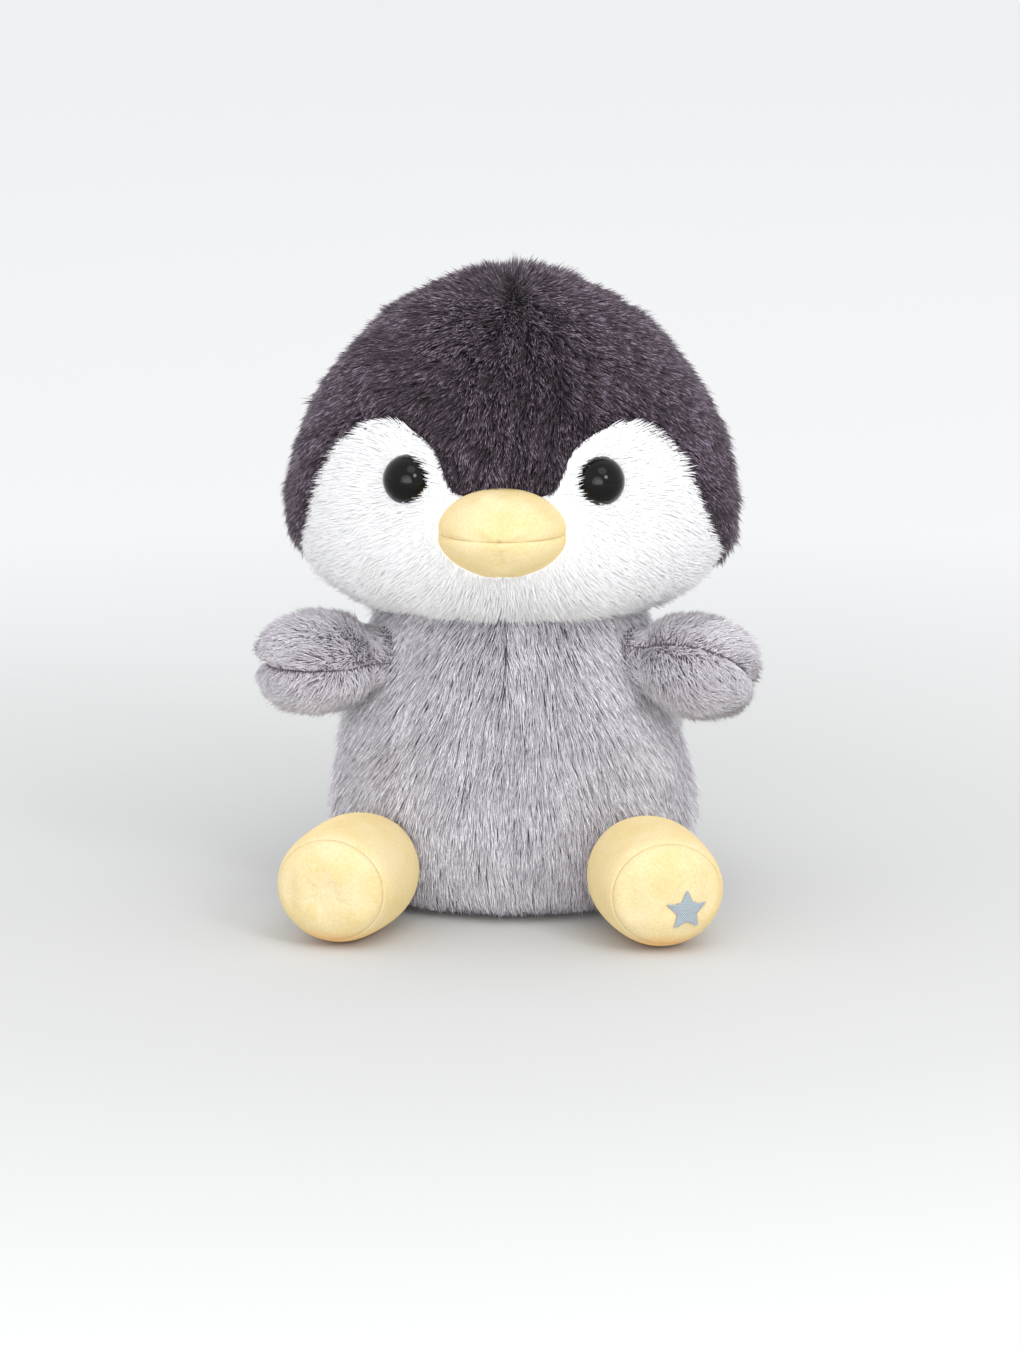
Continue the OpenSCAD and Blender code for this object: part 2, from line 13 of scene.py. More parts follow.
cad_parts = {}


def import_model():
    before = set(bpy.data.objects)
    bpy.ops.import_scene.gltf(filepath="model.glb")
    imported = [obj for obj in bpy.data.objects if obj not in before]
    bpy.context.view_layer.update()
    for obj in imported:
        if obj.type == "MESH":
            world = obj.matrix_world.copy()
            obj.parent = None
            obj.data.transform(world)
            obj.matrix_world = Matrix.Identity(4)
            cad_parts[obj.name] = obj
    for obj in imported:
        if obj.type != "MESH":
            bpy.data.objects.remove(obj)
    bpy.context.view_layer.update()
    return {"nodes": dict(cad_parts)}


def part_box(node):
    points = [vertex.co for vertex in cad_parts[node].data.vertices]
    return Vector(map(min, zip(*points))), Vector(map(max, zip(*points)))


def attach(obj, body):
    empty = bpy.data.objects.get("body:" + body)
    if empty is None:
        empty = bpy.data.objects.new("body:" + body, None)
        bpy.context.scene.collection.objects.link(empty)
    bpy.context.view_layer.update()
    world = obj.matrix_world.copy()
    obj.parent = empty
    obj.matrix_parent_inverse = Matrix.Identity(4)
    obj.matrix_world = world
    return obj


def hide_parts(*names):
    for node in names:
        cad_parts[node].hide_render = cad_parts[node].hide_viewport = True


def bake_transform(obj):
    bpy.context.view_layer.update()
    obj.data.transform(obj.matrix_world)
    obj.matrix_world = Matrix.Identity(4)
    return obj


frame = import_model()
SCENE = bpy.context.scene

# ---- sizes, as in the design ----

HEAD_W, HEAD_D, HEAD_LINE, HEAD_HIGH, HEAD_LOW = 63.5, 56.0, 114.0, 68.5, 31.0
CHEEK_POWER, CROWN_POWER = 2.4, 1.82
CROWN_TILT = 12.0
CAP_BACK = 97.0
# Edge between cap and face: degrees from the front, and height.
CAP_KEYS = [(0, 126), (13, 126.5), (21, 139), (37, 144.5), (52, 138), (60, 123), (67, 110), (80, 101)]
NECK = np.array([0.0, 0.0, 66.0])
SHOULDER_R = 41.0
HEAD_SEAT_R = SHOULDER_R + 0.8
BELLY_W, BELLY_Z, BASE_W, DEPTH_SHARE = 51.5, 26.0, 38.0, 0.92
SHOULDER_START, COLLAR_ANGLE, FLANK_POWER = 12.0, 52.0, 1.4
SIDE_SEAM = 70.0
ARM_L, ARM_W, ARM_H, ARM_POWER = 17.0, 15.8, 13.5, 2.2
ARM_MIDDLE, ARM_ROOT_X, ARM_Z, ARM_HEADING, ARM_ROLL = 17.5, 3.5, 72.5, 64.0, -35.0
FOOT_L, FOOT_W, FOOT_H, FOOT_FULL_X, FOOT_POWER = 42.0, 18.5, 17.0, 24.0, 2.5
SOLE_CROWN, SOLE_EDGE, SOLE_POWER = 5.0, 0.93, 2.2
FOOT_ROOT_X, TOE_OUT, LEG_X = 3.5, 15.0, 36.0
ARM_ROOT_L, FOOT_ROOT_L = 9.5, 11.0         # how far the fabric of a limb's root goes on into the body
ARM_FLARE, FOOT_FLARE = 0.12, 0.05          # how much wider that root gets
STAND_OFF = 2.5
MOTIF_AT, MOTIF_R = (4.5, -4.0), 6.0
BEAK_W, BEAK_H, BEAK_Z, BEAK_OUT, BEAK_BACK = 19.0, 13.5, 115.5, 15.5, 2.0
EYE_X, EYE_Z, EYE_R, EYE_DOME, EYE_RIM = 27.5, 129.5, 7.0, 5.5, 1.0
EYE_SUNK = 1.0          # how far the washer pulls an eye into the face

FABRIC_IN = 0.9         # the fabric starts this far inside the design's surface, and is blown up to it
FABRIC_T = 0.9
MM = 0.001


def axis_place():
    """The toy's axis in the frame: the base panel is centred on it."""
    low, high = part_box("base_panel")
    return np.array([(low.x + high.x) / 2, (low.y + high.y) / 2, 0.0])


AXIS = axis_place()


def world(points):
    """Design points in millimetres to the frame's metres."""
    return np.asarray(points) * MM + AXIS


# ---- small vector helpers ----

def mix(a, b, t):
    return a * (1 - t) + b * t


def smooth(value, start, end):
    """0 before start, 1 after end, and smooth in between."""
    t = np.clip((value - start) / (end - start), 0, 1)
    return t * t * (3 - 2 * t)


def sind(a):
    return np.sin(np.radians(a))


def cosd(a):
    return np.cos(np.radians(a))


def signed_pow(v, p):
    return np.sign(v) * np.abs(v) ** p


def stack(x, y, z):
    return np.stack(np.broadcast_arrays(x, y, z), -1).astype(float)


def dot(a, b):
    return np.sum(a * b, -1, keepdims=True)


def unit(v):
    return v / np.maximum(np.linalg.norm(v, axis=-1, keepdims=True), 1e-9)


def tangent(v, n):
    """The part of v along the surface with normal n, as a unit vector."""
    return unit(v - n * dot(v, n))


def curve(keys, t):
    """Smooth curve through the keys, with t from 0 to len(keys) - 1."""
    keys = np.asarray(keys, float)
    i = np.minimum(np.floor(t).astype(int), len(keys) - 2)
    f = (t - i)[:, None]
    a, b = keys[np.maximum(i - 1, 0)], keys[i]
    c, d = keys[i + 1], keys[np.minimum(i + 2, len(keys) - 1)]
    return 0.5 * (2 * b + (c - a) * f + (2 * a - 5 * b + 4 * c - d) * f**2 + (3 * b - a - 3 * c + d) * f**3)


def arc(a, b, t):
    """Unit vectors between a and b along the great circle."""
    w = np.arccos(np.clip(dot(a, b), -1, 1))
    s = np.maximum(np.sin(w), 1e-6)
    return np.where(w < 1e-4, a, (a * np.sin((1 - t) * w) + b * np.sin(t * w)) / s)


def ripple(points, size, seed):
    """Smooth noise about -1 to 1, in three channels, that repeats over about size millimetres."""
    rng = np.random.default_rng(seed)
    total = np.zeros((len(points), 3))
    for octave in range(5):
        waves = rng.normal(size=(3, 3)) * (2.2 / size) * (1 + 0.45 * octave)
        total += np.sin(points @ waves + rng.uniform(0, 6.28, 3)) * 0.5
    return total


def bisect(low, high, steps, beyond):
    """Where beyond(t) turns true between low and high, found by halving."""
    for _ in range(steps):
        middle = (low + high) / 2
        found = beyond(middle)
        low, high = np.where(found, low, middle), np.where(found, middle, high)
    return (low + high) / 2


def quads(rows, cols, ring=False):
    """Faces of a grid of points, row after row; in a ring, the last column meets the first."""
    index = np.arange(rows * cols).reshape(rows, cols)
    if ring:
        index = np.concatenate([index, index[:, :1]], 1)
    return np.stack([index[:-1, :-1], index[1:, :-1], index[1:, 1:], index[:-1, 1:]], -1).reshape(-1, 4)


# ---- surfaces of the design ----

def direction(theta, phi):
    return stack(cosd(phi) * sind(theta), -cosd(phi) * cosd(theta), sind(phi))


def head_side(low):
    """The power and the height of the head's curve, below or above its widest line."""
    return np.where(low, CHEEK_POWER, CROWN_POWER), np.where(low, HEAD_LOW, HEAD_HIGH)


def latitude(z):
    power, half = head_side(z < HEAD_LINE)
    return np.degrees(np.arcsin(signed_pow((z - HEAD_LINE) / half, power / 2)))


def on_head(u, inset=0.0):
    power, half = head_side(u[..., 2] < 0)
    widen = np.maximum(np.hypot(u[..., 0], u[..., 1]), 1e-4) ** (2 / power - 1)
    rise = signed_pow(u[..., 2], 2 / power) * (half - inset)
    return stack((HEAD_W - inset) * u[..., 0] * widen, (HEAD_D - inset) * u[..., 1] * widen, HEAD_LINE + rise)


def head_depth(p):
    """About how far points lie inside the head's surface; negative outside."""
    low = p[..., 2] < HEAD_LINE
    power, half = head_side(low)
    level = np.sqrt((p[..., 0] / HEAD_W) ** 2 + (p[..., 1] / HEAD_D) ** 2)
    rise = np.abs(p[..., 2] - HEAD_LINE) / half
    ball = np.linalg.norm(p - NECK, axis=-1) - HEAD_SEAT_R
    size = (level**power + rise**power) ** (1 / power)
    return np.minimum((1 - size) * np.where(low, 45.0, 60.0), ball)


def face_y(x, z):
    power, half = head_side(z < HEAD_LINE)
    level = np.maximum(1 - (np.abs(z - HEAD_LINE) / half) ** power, 0) ** (1 / power)
    return -HEAD_D * np.sqrt(np.maximum(level**2 - (x / HEAD_W) ** 2, 0))


def rim_latitude(theta):
    """Latitude at which the head's surface meets the ball that it turns on."""
    def outside(phi):
        return np.linalg.norm(on_head(direction(theta, phi)) - NECK, axis=-1) > HEAD_SEAT_R
    return bisect(np.full(np.shape(theta), -89.0), np.full(np.shape(theta), -20.0), 24, outside)


def rim(theta):
    return direction(theta, rim_latitude(theta))


def body_outline(s, inset=0.0):
    r = SHOULDER_R - inset
    low_w = BASE_W + (BELLY_W - BASE_W - inset) * sind(90 * s)
    low_z = inset + (BELLY_Z - inset) * (1 - cosd(90 * s))
    side = np.clip(s - 1, 0, 1)
    side_w = mix(BELLY_W - inset, r * cosd(SHOULDER_START), side**FLANK_POWER)
    side_z = mix(BELLY_Z, NECK[2] + r * sind(SHOULDER_START), side)
    angle = mix(SHOULDER_START, COLLAR_ANGLE, s - 2)
    w = np.where(s <= 1, low_w, np.where(s <= 2, side_w, r * cosd(angle)))
    z = np.where(s <= 1, low_z, np.where(s <= 2, side_z, NECK[2] + r * sind(angle)))
    return w, z


def on_body(theta, s, inset=0.0):
    w, z = body_outline(s, inset)
    share = mix(DEPTH_SHARE, 1.0, np.clip(s - 1, 0, 1))
    return stack(w * sind(theta), -w * share * cosd(theta), z)


BODY_S = np.linspace(0, 3, 121)
BODY_W, BODY_Z = body_outline(BODY_S)


def body_depth(p):
    """About how far points lie inside the body's surface; negative outside."""
    w = np.interp(p[..., 2], BODY_Z, BODY_W)
    share = np.interp(p[..., 2], BODY_Z, mix(DEPTH_SHARE, 1.0, np.clip(BODY_S - 1, 0, 1)))
    return np.where(p[..., 2] > BODY_Z[-1], -1.0, w - np.hypot(p[..., 0], p[..., 1] / share))


# A limb's frame: +X runs from its turning centre to its tip.
ARM_R = np.sqrt(SHOULDER_R**2 - (ARM_Z - NECK[2]) ** 2) + STAND_OFF
ARM_CENTRE = np.array([ARM_R * sind(ARM_HEADING), -ARM_R * cosd(ARM_HEADING), ARM_Z])


def foot_place():
    s = np.degrees(np.arccos(1 - FOOT_H / BELLY_Z)) / 90
    w = body_outline(np.float64(s))[0]
    y = -w * DEPTH_SHARE * np.sqrt(1 - (LEG_X / w) ** 2)
    return np.array([LEG_X, y, FOOT_H]) + STAND_OFF * np.array([sind(TOE_OUT), -cosd(TOE_OUT), 0])


FOOT_CENTRE = foot_place()


class Place:
    """Where a limb is: its turning centre, its heading, its roll about its own length, and its side."""

    def __init__(self, centre, heading, roll, side):
        turn = Matrix.Rotation(np.radians(heading - 90), 3, "Z") @ Matrix.Rotation(np.radians(roll), 3, "X")
        self.turn = np.array(turn)
        self.centre = centre
        self.flip = np.array([side, 1.0, 1.0])
        self.side = side

    def out(self, points):
        return (points @ self.turn.T + self.centre) * self.flip

    def back(self, points):
        return (points * self.flip - self.centre) @ self.turn

    def turned(self, vectors):
        return (vectors @ self.turn.T) * self.flip


LEFT, RIGHT = -1, 1
ARMS = {
    "left": Place(ARM_CENTRE, ARM_HEADING, 0.0, LEFT),
    "right": Place(ARM_CENTRE, ARM_HEADING, ARM_ROLL, RIGHT),
}
FEET = {
    "left": Place(FOOT_CENTRE, TOE_OUT, 0.0, LEFT),
    "right": Place(FOOT_CENTRE, TOE_OUT, 0.0, RIGHT),
}


def arm_point(part, psi, inset=0.0):
    """part runs from 0 at the tip to 1 at the root, and on to 2 at the body."""
    root_angle = np.degrees(np.arccos(-(((ARM_MIDDLE - ARM_ROOT_X) / ARM_L) ** (ARM_POWER / 2))))
    tau = np.minimum(part, 1) * root_angle
    root = np.maximum(part - 1, 0) * ARM_ROOT_L
    x = ARM_MIDDLE + (ARM_L - inset) * signed_pow(cosd(tau), 2 / ARM_POWER) - root
    size = sind(tau) ** (2 / ARM_POWER) * (1 + ARM_FLARE * smooth(part, 1, 2))
    return stack(x, (ARM_W - inset) * size * cosd(psi), (ARM_H - inset) * size * sind(psi))


def arm_depth(place, p):
    q = place.back(p) - [ARM_MIDDLE, 0, 0]
    size = np.abs(q[..., 0] / ARM_L) ** ARM_POWER
    size += np.hypot(q[..., 1] / ARM_W, q[..., 2] / ARM_H) ** ARM_POWER
    return (1 - size ** (1 / ARM_POWER)) * ARM_H


def foot_share(x):
    rise = (1 - np.clip((FOOT_FULL_X - x) / FOOT_FULL_X, 0, 1) ** FOOT_POWER) ** (1 / FOOT_POWER)
    fall = 1 - (1 - SOLE_EDGE) * ((x - FOOT_FULL_X) / (FOOT_L - FOOT_FULL_X)) ** 2
    return np.where(x < FOOT_FULL_X, rise, fall)


def foot_point(s, psi, inset=0.0):
    """s runs from 0 in the middle of the sole to 1 at its edge, 2 at the root, and 3 at the body."""
    along = mix(FOOT_L, FOOT_ROOT_X, np.clip(s - 1, 0, 1))
    bare = foot_share(np.maximum(along, FOOT_ROOT_X)) * (1 + FOOT_FLARE * smooth(s, 2, 3))
    share = np.where(s <= 1, s * SOLE_EDGE, bare)
    root = np.maximum(s - 2, 0) * FOOT_ROOT_L
    wall_x = along - inset * (along - FOOT_ROOT_X) / (FOOT_L - FOOT_ROOT_X) - root
    x = np.where(s <= 1, FOOT_L - inset + SOLE_CROWN * (1 - np.abs(s) ** SOLE_POWER), wall_x)
    return stack(x, (FOOT_W - inset) * share * cosd(psi), (FOOT_H - inset) * share * sind(psi))


def foot_depth(place, p):
    q = place.back(p)
    share = foot_share(np.clip(q[..., 0], 0.5, FOOT_L))
    side = (1 - np.hypot(q[..., 1] / FOOT_W, q[..., 2] / FOOT_H) / share) * FOOT_H
    return np.minimum(side, np.minimum(q[..., 0], FOOT_L + SOLE_CROWN / 2 - q[..., 0]))


BEAK_CENTRE = np.array([0.0, float(face_y(0.0, BEAK_Z)) + BEAK_BACK, BEAK_Z])
BEAK_D = BEAK_OUT + BEAK_BACK


def on_beak(q, psi, inset=0.0):
    sides = stack((BEAK_W - inset) * sind(q) * cosd(psi), -(BEAK_D - inset) * cosd(q),
                  (BEAK_H - inset) * sind(q) * sind(psi))
    return BEAK_CENTRE + sides


def beak_rim(psi):
    """Angle from the tip at which the beak's surface meets the face."""
    def inside(q):
        p = on_beak(q, psi)
        return p[..., 1] >= face_y(p[..., 0], p[..., 2])
    return bisect(np.full(np.shape(psi), 30.0), np.full(np.shape(psi), 95.0), 22, inside)


def beak_depth(p):
    q = (p - BEAK_CENTRE) / [BEAK_W, BEAK_D, BEAK_H]
    return (1 - np.linalg.norm(q, axis=-1)) * BEAK_H


EYE_AT = np.array([EYE_X, float(face_y(EYE_X, EYE_Z)), EYE_Z])
EYE_SHARE = (EYE_Z - HEAD_LINE) / HEAD_HIGH
EYE_LEVEL = (1 - EYE_SHARE**CROWN_POWER) ** (1 - 2 / CROWN_POWER)
EYE_OUT = unit(EYE_AT * [EYE_LEVEL / HEAD_W**2, EYE_LEVEL / HEAD_D**2, 0]
               + [0, 0, EYE_SHARE ** (CROWN_POWER - 1) / HEAD_HIGH])


# ---- shells of panels ----

class Shell:
    """The fabric of one stuffed part: welded points, faces, and the panel that each face belongs to."""

    def __init__(self):
        self.grids = []

    def add(self, panel, grid, ring=False, side=RIGHT):
        """A grid whose rows run down and whose columns run to the right, seen from outside."""
        grid = np.asarray(grid, float)
        if ring:
            grid = np.concatenate([grid, grid[:, :1]], 1)
        self.grids.append((panel, grid * [side, 1, 1], side))

    def weld(self):
        points, faces, panels, start = [], [], [], 0
        for panel, grid, side in self.grids:
            made = quads(*grid.shape[:2]) + start
            faces.append(made if side == RIGHT else made[:, ::-1])
            panels += [panel] * len(made)
            points.append(grid.reshape(-1, 3))
            start += len(points[-1])
        points, faces = np.concatenate(points), np.concatenate(faces)
        _, first, back = np.unique(np.round(points, 2), axis=0, return_index=True, return_inverse=True)
        self.points = points[first]
        self.faces = [list(dict.fromkeys(f)) for f in back.reshape(-1)[faces].tolist()]
        keep = [i for i, f in enumerate(self.faces) if len(f) > 2]
        self.faces = [self.faces[i] for i in keep]
        self.panels = np.array([panels[i] for i in keep])
        return self

    def triangles(self):
        made = [(f[0], f[k], f[k + 1]) for f in self.faces for k in range(1, len(f) - 1)]
        owner = [p for f, p in zip(self.faces, self.panels) for _ in range(len(f) - 2)]
        return np.array(made), np.array(owner)

    def normals(self):
        tri, _ = self.triangles()
        a, b, c = (self.points[tri[:, i]] for i in range(3))
        face = np.cross(b - a, c - a)
        total = np.zeros_like(self.points)
        for i in range(3):
            np.add.at(total, tri[:, i], face)
        return unit(total)

    def seams(self):
        """Which points lie on a seam between two panels, and which on an open edge."""
        owners = [set() for _ in self.points]
        edges = {}
        for f, panel in zip(self.faces, self.panels):
            for i, v in enumerate(f):
                owners[v].add(panel)
                key = tuple(sorted((v, f[i - 1])))
                edges[key] = edges.get(key, 0) + 1
        loose = {v for key, n in edges.items() if n == 1 for v in key}
        return (
            np.array([len(o) > 1 for o in owners]),
            np.array([v in loose for v in range(len(owners))]),
        )


def nearest(points, places):
    """Distance from each point to the nearest place, and which one it is."""
    tree = kdtree.KDTree(len(places))
    for i, p in enumerate(places):
        tree.insert(p, i)
    tree.balance()
    found = [tree.find(p) for p in points]
    return np.array([f[2] for f in found]), np.array([f[1] for f in found])


def pinch(shell, depth, width, free=None):
    """Draws the shell in along its seams, except where they are free."""
    seam, _ = shell.seams()
    if free is not None:
        seam &= ~free
    if seam.any():
        away, _ = nearest(shell.points, shell.points[seam])
        shell.points = shell.points - shell.normals() * (depth * np.exp(-((away / width) ** 2)))[:, None]


CLOTH_SCALE = 4.0       # the cloth is simulated this much larger, where its usual settings work
CLOTH_FRAMES = 20


def inflate(shell, pressure, most, gather=0.0, flat=None, free=None):
    """Blows the shell up as cloth held at its open edges, where it is flat, and at its seams except the free
    ones. No point moves further than most."""
    held, loose = shell.seams()
    if free is not None:
        held &= ~free
    if flat is not None:
        held |= flat
    held |= loose
    mesh = bpy.data.meshes.new("cloth")
    mesh.from_pydata((shell.points * MM * CLOTH_SCALE).tolist(), [], shell.faces)
    obj = bpy.data.objects.new("cloth", mesh)
    SCENE.collection.objects.link(obj)
    pins = obj.vertex_groups.new(name="held")
    pins.add(np.flatnonzero(held).tolist(), 1.0, "REPLACE")
    cloth = obj.modifiers.new("cloth", "CLOTH")
    cloth.settings.vertex_group_mass = "held"
    cloth.settings.use_pressure = True
    cloth.settings.uniform_pressure_force = pressure
    cloth.settings.shrink_min = -gather
    cloth.settings.mass = 0.15
    cloth.settings.effector_weights.gravity = 0
    cloth.collision_settings.use_collision = False
    cloth.point_cache.frame_end = CLOTH_FRAMES
    for f in range(1, CLOTH_FRAMES + 1):
        SCENE.frame_set(f)
    shown = obj.evaluated_get(bpy.context.evaluated_depsgraph_get())
    moved = np.zeros(len(shell.points) * 3)
    shown.data.vertices.foreach_get("co", moved)
    step = moved.reshape(-1, 3) / (MM * CLOTH_SCALE) - shell.points
    length = np.linalg.norm(step, axis=1, keepdims=True)
    shell.points = shell.points + step * np.minimum(1, most / np.maximum(length, 1e-6))
    bpy.data.objects.remove(obj)
    SCENE.frame_set(1)


# ---- making objects ----

def add_object(name, mesh, body, materials, stands_for=()):
    obj = bpy.data.objects.new(name, mesh)
    SCENE.collection.objects.link(obj)
    for material in materials:
        mesh.materials.append(material)
    if body:
        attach(obj, body)
    if stands_for:
        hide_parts(*stands_for)
    return obj


def smooth_mesh(name, points, faces):
    """A smooth-shaded mesh from points in millimetres."""
    mesh = bpy.data.meshes.new(name)
    mesh.from_pydata(world(points).tolist(), [], faces)
    mesh.polygons.foreach_set("use_smooth", [True] * len(mesh.polygons))
    return mesh


def subdivide(obj, levels=1):
    modifier = obj.modifiers.new("subdivision", "SUBSURF")
    modifier.levels = modifier.render_levels = levels


def thicken(obj, thickness):
    modifier = obj.modifiers.new("thickness", "SOLIDIFY")
    modifier.thickness = thickness * MM
    modifier.offset = -1


def fabric_panel(node, body, shell, material):
    """One panel's fabric, cut from its shell, with its real thickness on the inside."""
    mine = [f for f, p in zip(shell.faces, shell.panels) if p == node]
    used = sorted({v for f in mine for v in f})
    place = {v: i for i, v in enumerate(used)}
    mesh = smooth_mesh("fabric_" + node, shell.points[used], [[place[v] for v in f] for f in mine])
    obj = add_object("fabric_" + node, mesh, body, [material], [node])
    subdivide(obj)
    thicken(obj, FABRIC_T)
    return obj


# ---- materials ----

def linear(code):
    """An sRGB code such as "4A424B" as a linear colour."""
    parts = [int(code[i:i + 2], 16) / 255 for i in (0, 2, 4)]
    return [c / 12.92 if c <= 0.04045 else ((c + 0.055) / 1.055) ** 2.4 for c in parts] + [1.0]


class Paint:
    """A material being built from nodes on a Principled surface."""

    def __init__(self, name, colour, roughness, **more):
        self.material = bpy.data.materials.new(name)
        self.material.use_nodes = True
        self.tree = self.material.node_tree
        self.surface = self.tree.nodes["Principled BSDF"]
        self.set("Base Color", linear(colour))
        self.set("Roughness", roughness)
        for key, value in more.items():
            self.set(key.replace("_", " "), value)
        self.place = None

    def set(self, socket, value):
        self.surface.inputs[socket].default_value = value

    def node(self, kind, **values):
        node = self.tree.nodes.new("ShaderNode" + kind)
        for key, value in values.items():
            if hasattr(node, key):
                setattr(node, key, value)
            else:
                node.inputs[key.replace("_", " ")].default_value = value
        return node

    def link(self, a, b):
        self.tree.links.new(a, b)

    def texture(self, kind, **values):
        """A texture node in the toy's own coordinates, in metres."""
        if self.place is None:
            self.place = self.node("TexCoord")
        node = self.node(kind, **values)
        self.link(self.place.outputs["Object"], node.inputs["Vector"])
        return node

    def ramp(self, source, stops):
        """A colour ramp from (position, code) stops."""
        node = self.node("ValToRGB")
        elements = node.color_ramp.elements
        while len(elements) < len(stops):
            elements.new(0.5)
        for element, (position, code) in zip(elements, stops):
            element.position = position
            element.color = linear(code)
        self.link(source, node.inputs["Fac"])
        return node.outputs["Color"]

    def blend(self, amount, a, b, kind="MIX"):
        node = self.node("Mix", data_type="RGBA", blend_type=kind)
        for socket, value in ((node.inputs[0], amount), (node.inputs[6], a), (node.inputs[7], b)):
            if hasattr(value, "is_output"):
                self.link(value, socket)
            else:
                socket.default_value = value
        return node.outputs[2]

    def colour(self, output):
        self.link(output, self.surface.inputs["Base Color"])

    def bump(self, height, strength, distance):
        node = self.node("Bump", Strength=strength, Distance=distance * MM)
        self.link(height, node.inputs["Height"])
        self.link(node.outputs["Normal"], self.surface.inputs["Normal"])


def velour(name):
    """Pale yellow velour: a fine nap, brushed patches, warmer pits between the tufts, and a painted warm
    glow: orange painted into its lowest 6 mm, where it lies on the floor, in place of light bounced between
    foot and floor."""
    paint = Paint(name, "D2C08F", 0.92, Sheen_Weight=0.6, Sheen_Roughness=0.5,
                  Sheen_Tint=linear("FFE3A0"), Specular_IOR_Level=0.1)
    nap = paint.texture("TexNoise", Scale=1500.0, Detail=3.0, Roughness=0.6)
    brushed = paint.texture("TexNoise", Scale=95.0, Detail=3.0, Roughness=0.55)
    fine = paint.ramp(nap.outputs["Fac"], [(0.34, "CBB179"), (0.52, "D3C092"), (0.7, "D7CAA6")])
    patches = paint.ramp(brushed.outputs["Fac"], [(0.35, "D0BC88"), (0.62, "D8CBA8")])
    height = paint.node("SeparateXYZ")
    paint.link(paint.place.outputs["Object"], height.inputs[0])
    # painted warm glow: orange blended into the lowest 6 mm, standing in for light bounced between the foot
    # and the floor
    low = paint.node("MapRange", From_Min=0.0, From_Max=6 * MM, To_Min=0.8, To_Max=0.0)
    paint.link(height.outputs["Z"], low.inputs["Value"])
    paint.colour(paint.blend(low.outputs["Result"], paint.blend(0.5, fine, patches), linear("E8983A")))
    paint.bump(nap.outputs["Fac"], 0.5, 0.25)
    return paint.material


def knit(name, dark, light):
    """The knitted backing that the pile grows from."""
    paint = Paint(name, light, 0.95, Specular_IOR_Level=0.1)
    ribs = paint.texture("TexWave", Scale=420.0, Distortion=1.2, Detail=2.0)
    cloud = paint.texture("TexNoise", Scale=300.0, Detail=4.0)
    both = paint.blend(0.5, ribs.outputs["Color"], cloud.outputs["Color"], "MULTIPLY")
    paint.colour(paint.ramp(both, [(0.15, dark), (0.75, light)]))
    paint.bump(ribs.outputs["Fac"], 0.4, 0.2)
    return paint.material


def fibre(name):
    paint = Paint(name, "E9E8E2", 0.9, Sheen_Weight=0.3, Specular_IOR_Level=0.1)
    strands = paint.texture("TexNoise", Scale=260.0, Detail=6.0, Roughness=0.75, Distortion=2.5)
    paint.colour(paint.ramp(strands.outputs["Fac"], [(0.3, "C9C7BE"), (0.6, "F2F1EC")]))
    paint.bump(strands.outputs["Fac"], 0.7, 0.8)
    return paint.material


def eye_black(name):
    paint = Paint(name, "030303", 0.1, Specular_IOR_Level=0.22)
    cloud = paint.texture("TexNoise", Scale=500.0, Detail=2.0)
    paint.colour(paint.ramp(cloud.outputs["Fac"], [(0.3, "020202"), (0.7, "050506")]))
    return paint.material


def washer_plastic(name):
    paint = Paint(name, "CFCFCA", 0.45, Subsurface_Weight=0.2)
    flow = paint.texture("TexNoise", Scale=220.0, Detail=3.0, Distortion=1.0)
    paint.colour(paint.ramp(flow.outputs["Fac"], [(0.3, "BFC0BA"), (0.7, "D8D8D3")]))
    paint.bump(flow.outputs["Fac"], 0.15, 0.2)
    return paint.material


def thread(name, code, light):
    paint = Paint(name, code, 0.55, Sheen_Weight=0.3, Specular_IOR_Level=0.35)
    twist = paint.texture("TexWave", Scale=900.0, Distortion=0.6, bands_direction="DIAGONAL")
    paint.colour(paint.ramp(twist.outputs["Fac"], [(0.2, code), (0.8, light)]))
    return paint.material


def woven_tape(name):
    paint = Paint(name, "EDEDEA", 0.7, Specular_IOR_Level=0.25)
    warp = paint.texture("TexWave", Scale=800.0, bands_direction="X")
    weft = paint.texture("TexWave", Scale=800.0, bands_direction="Z")
    both = paint.blend(0.5, warp.outputs["Color"], weft.outputs["Color"])
    paint.colour(paint.ramp(both, [(0.2, "D9D9D4"), (0.8, "F3F3F0")]))
    paint.bump(both, 0.3, 0.08)
    return paint.material


def paper(name):
    """The floor's paper sweep: a little paler far from the lamps, so that it looks even."""
    paint = Paint(name, "C4C4C3", 0.8, Specular_IOR_Level=0.1)
    away = paint.node("VectorMath", operation="LENGTH")
    paint.link(paint.node("TexCoord").outputs["Object"], away.inputs[0])
    share = paint.node("Math", operation="MULTIPLY")
    share.inputs[1].default_value = 0.25
    paint.link(away.outputs["Value"], share.inputs[0])
    paint.colour(paint.ramp(share.outputs[0], [(0.05, "C6C6C5"), (0.16, "DADADA"), (0.8, "E0E1E1")]))
    return paint.material


def strand_tints(name, families, roughness=0.62):
    """One plain material for each part of a strand, root, middle and tip, in each family of strands."""
    return [
        Paint(f"{name}_{family}_{part}", code, roughness, Sheen_Weight=0.25, Sheen_Roughness=0.4,
              Specular_IOR_Level=0.3).material
        for family, codes in enumerate(families, 1)
        for part, code in zip(("root", "middle", "tip"), codes)
    ]


# ---- the pile ----

RINGS = (0.0, 0.4, 0.75)        # where a strand's rings are along it; its tip is a point at 1
SEGMENTS = len(RINGS)
STRANDS_PER_PIECE = 13000       # keeps each piece of pile under 200,000 triangles


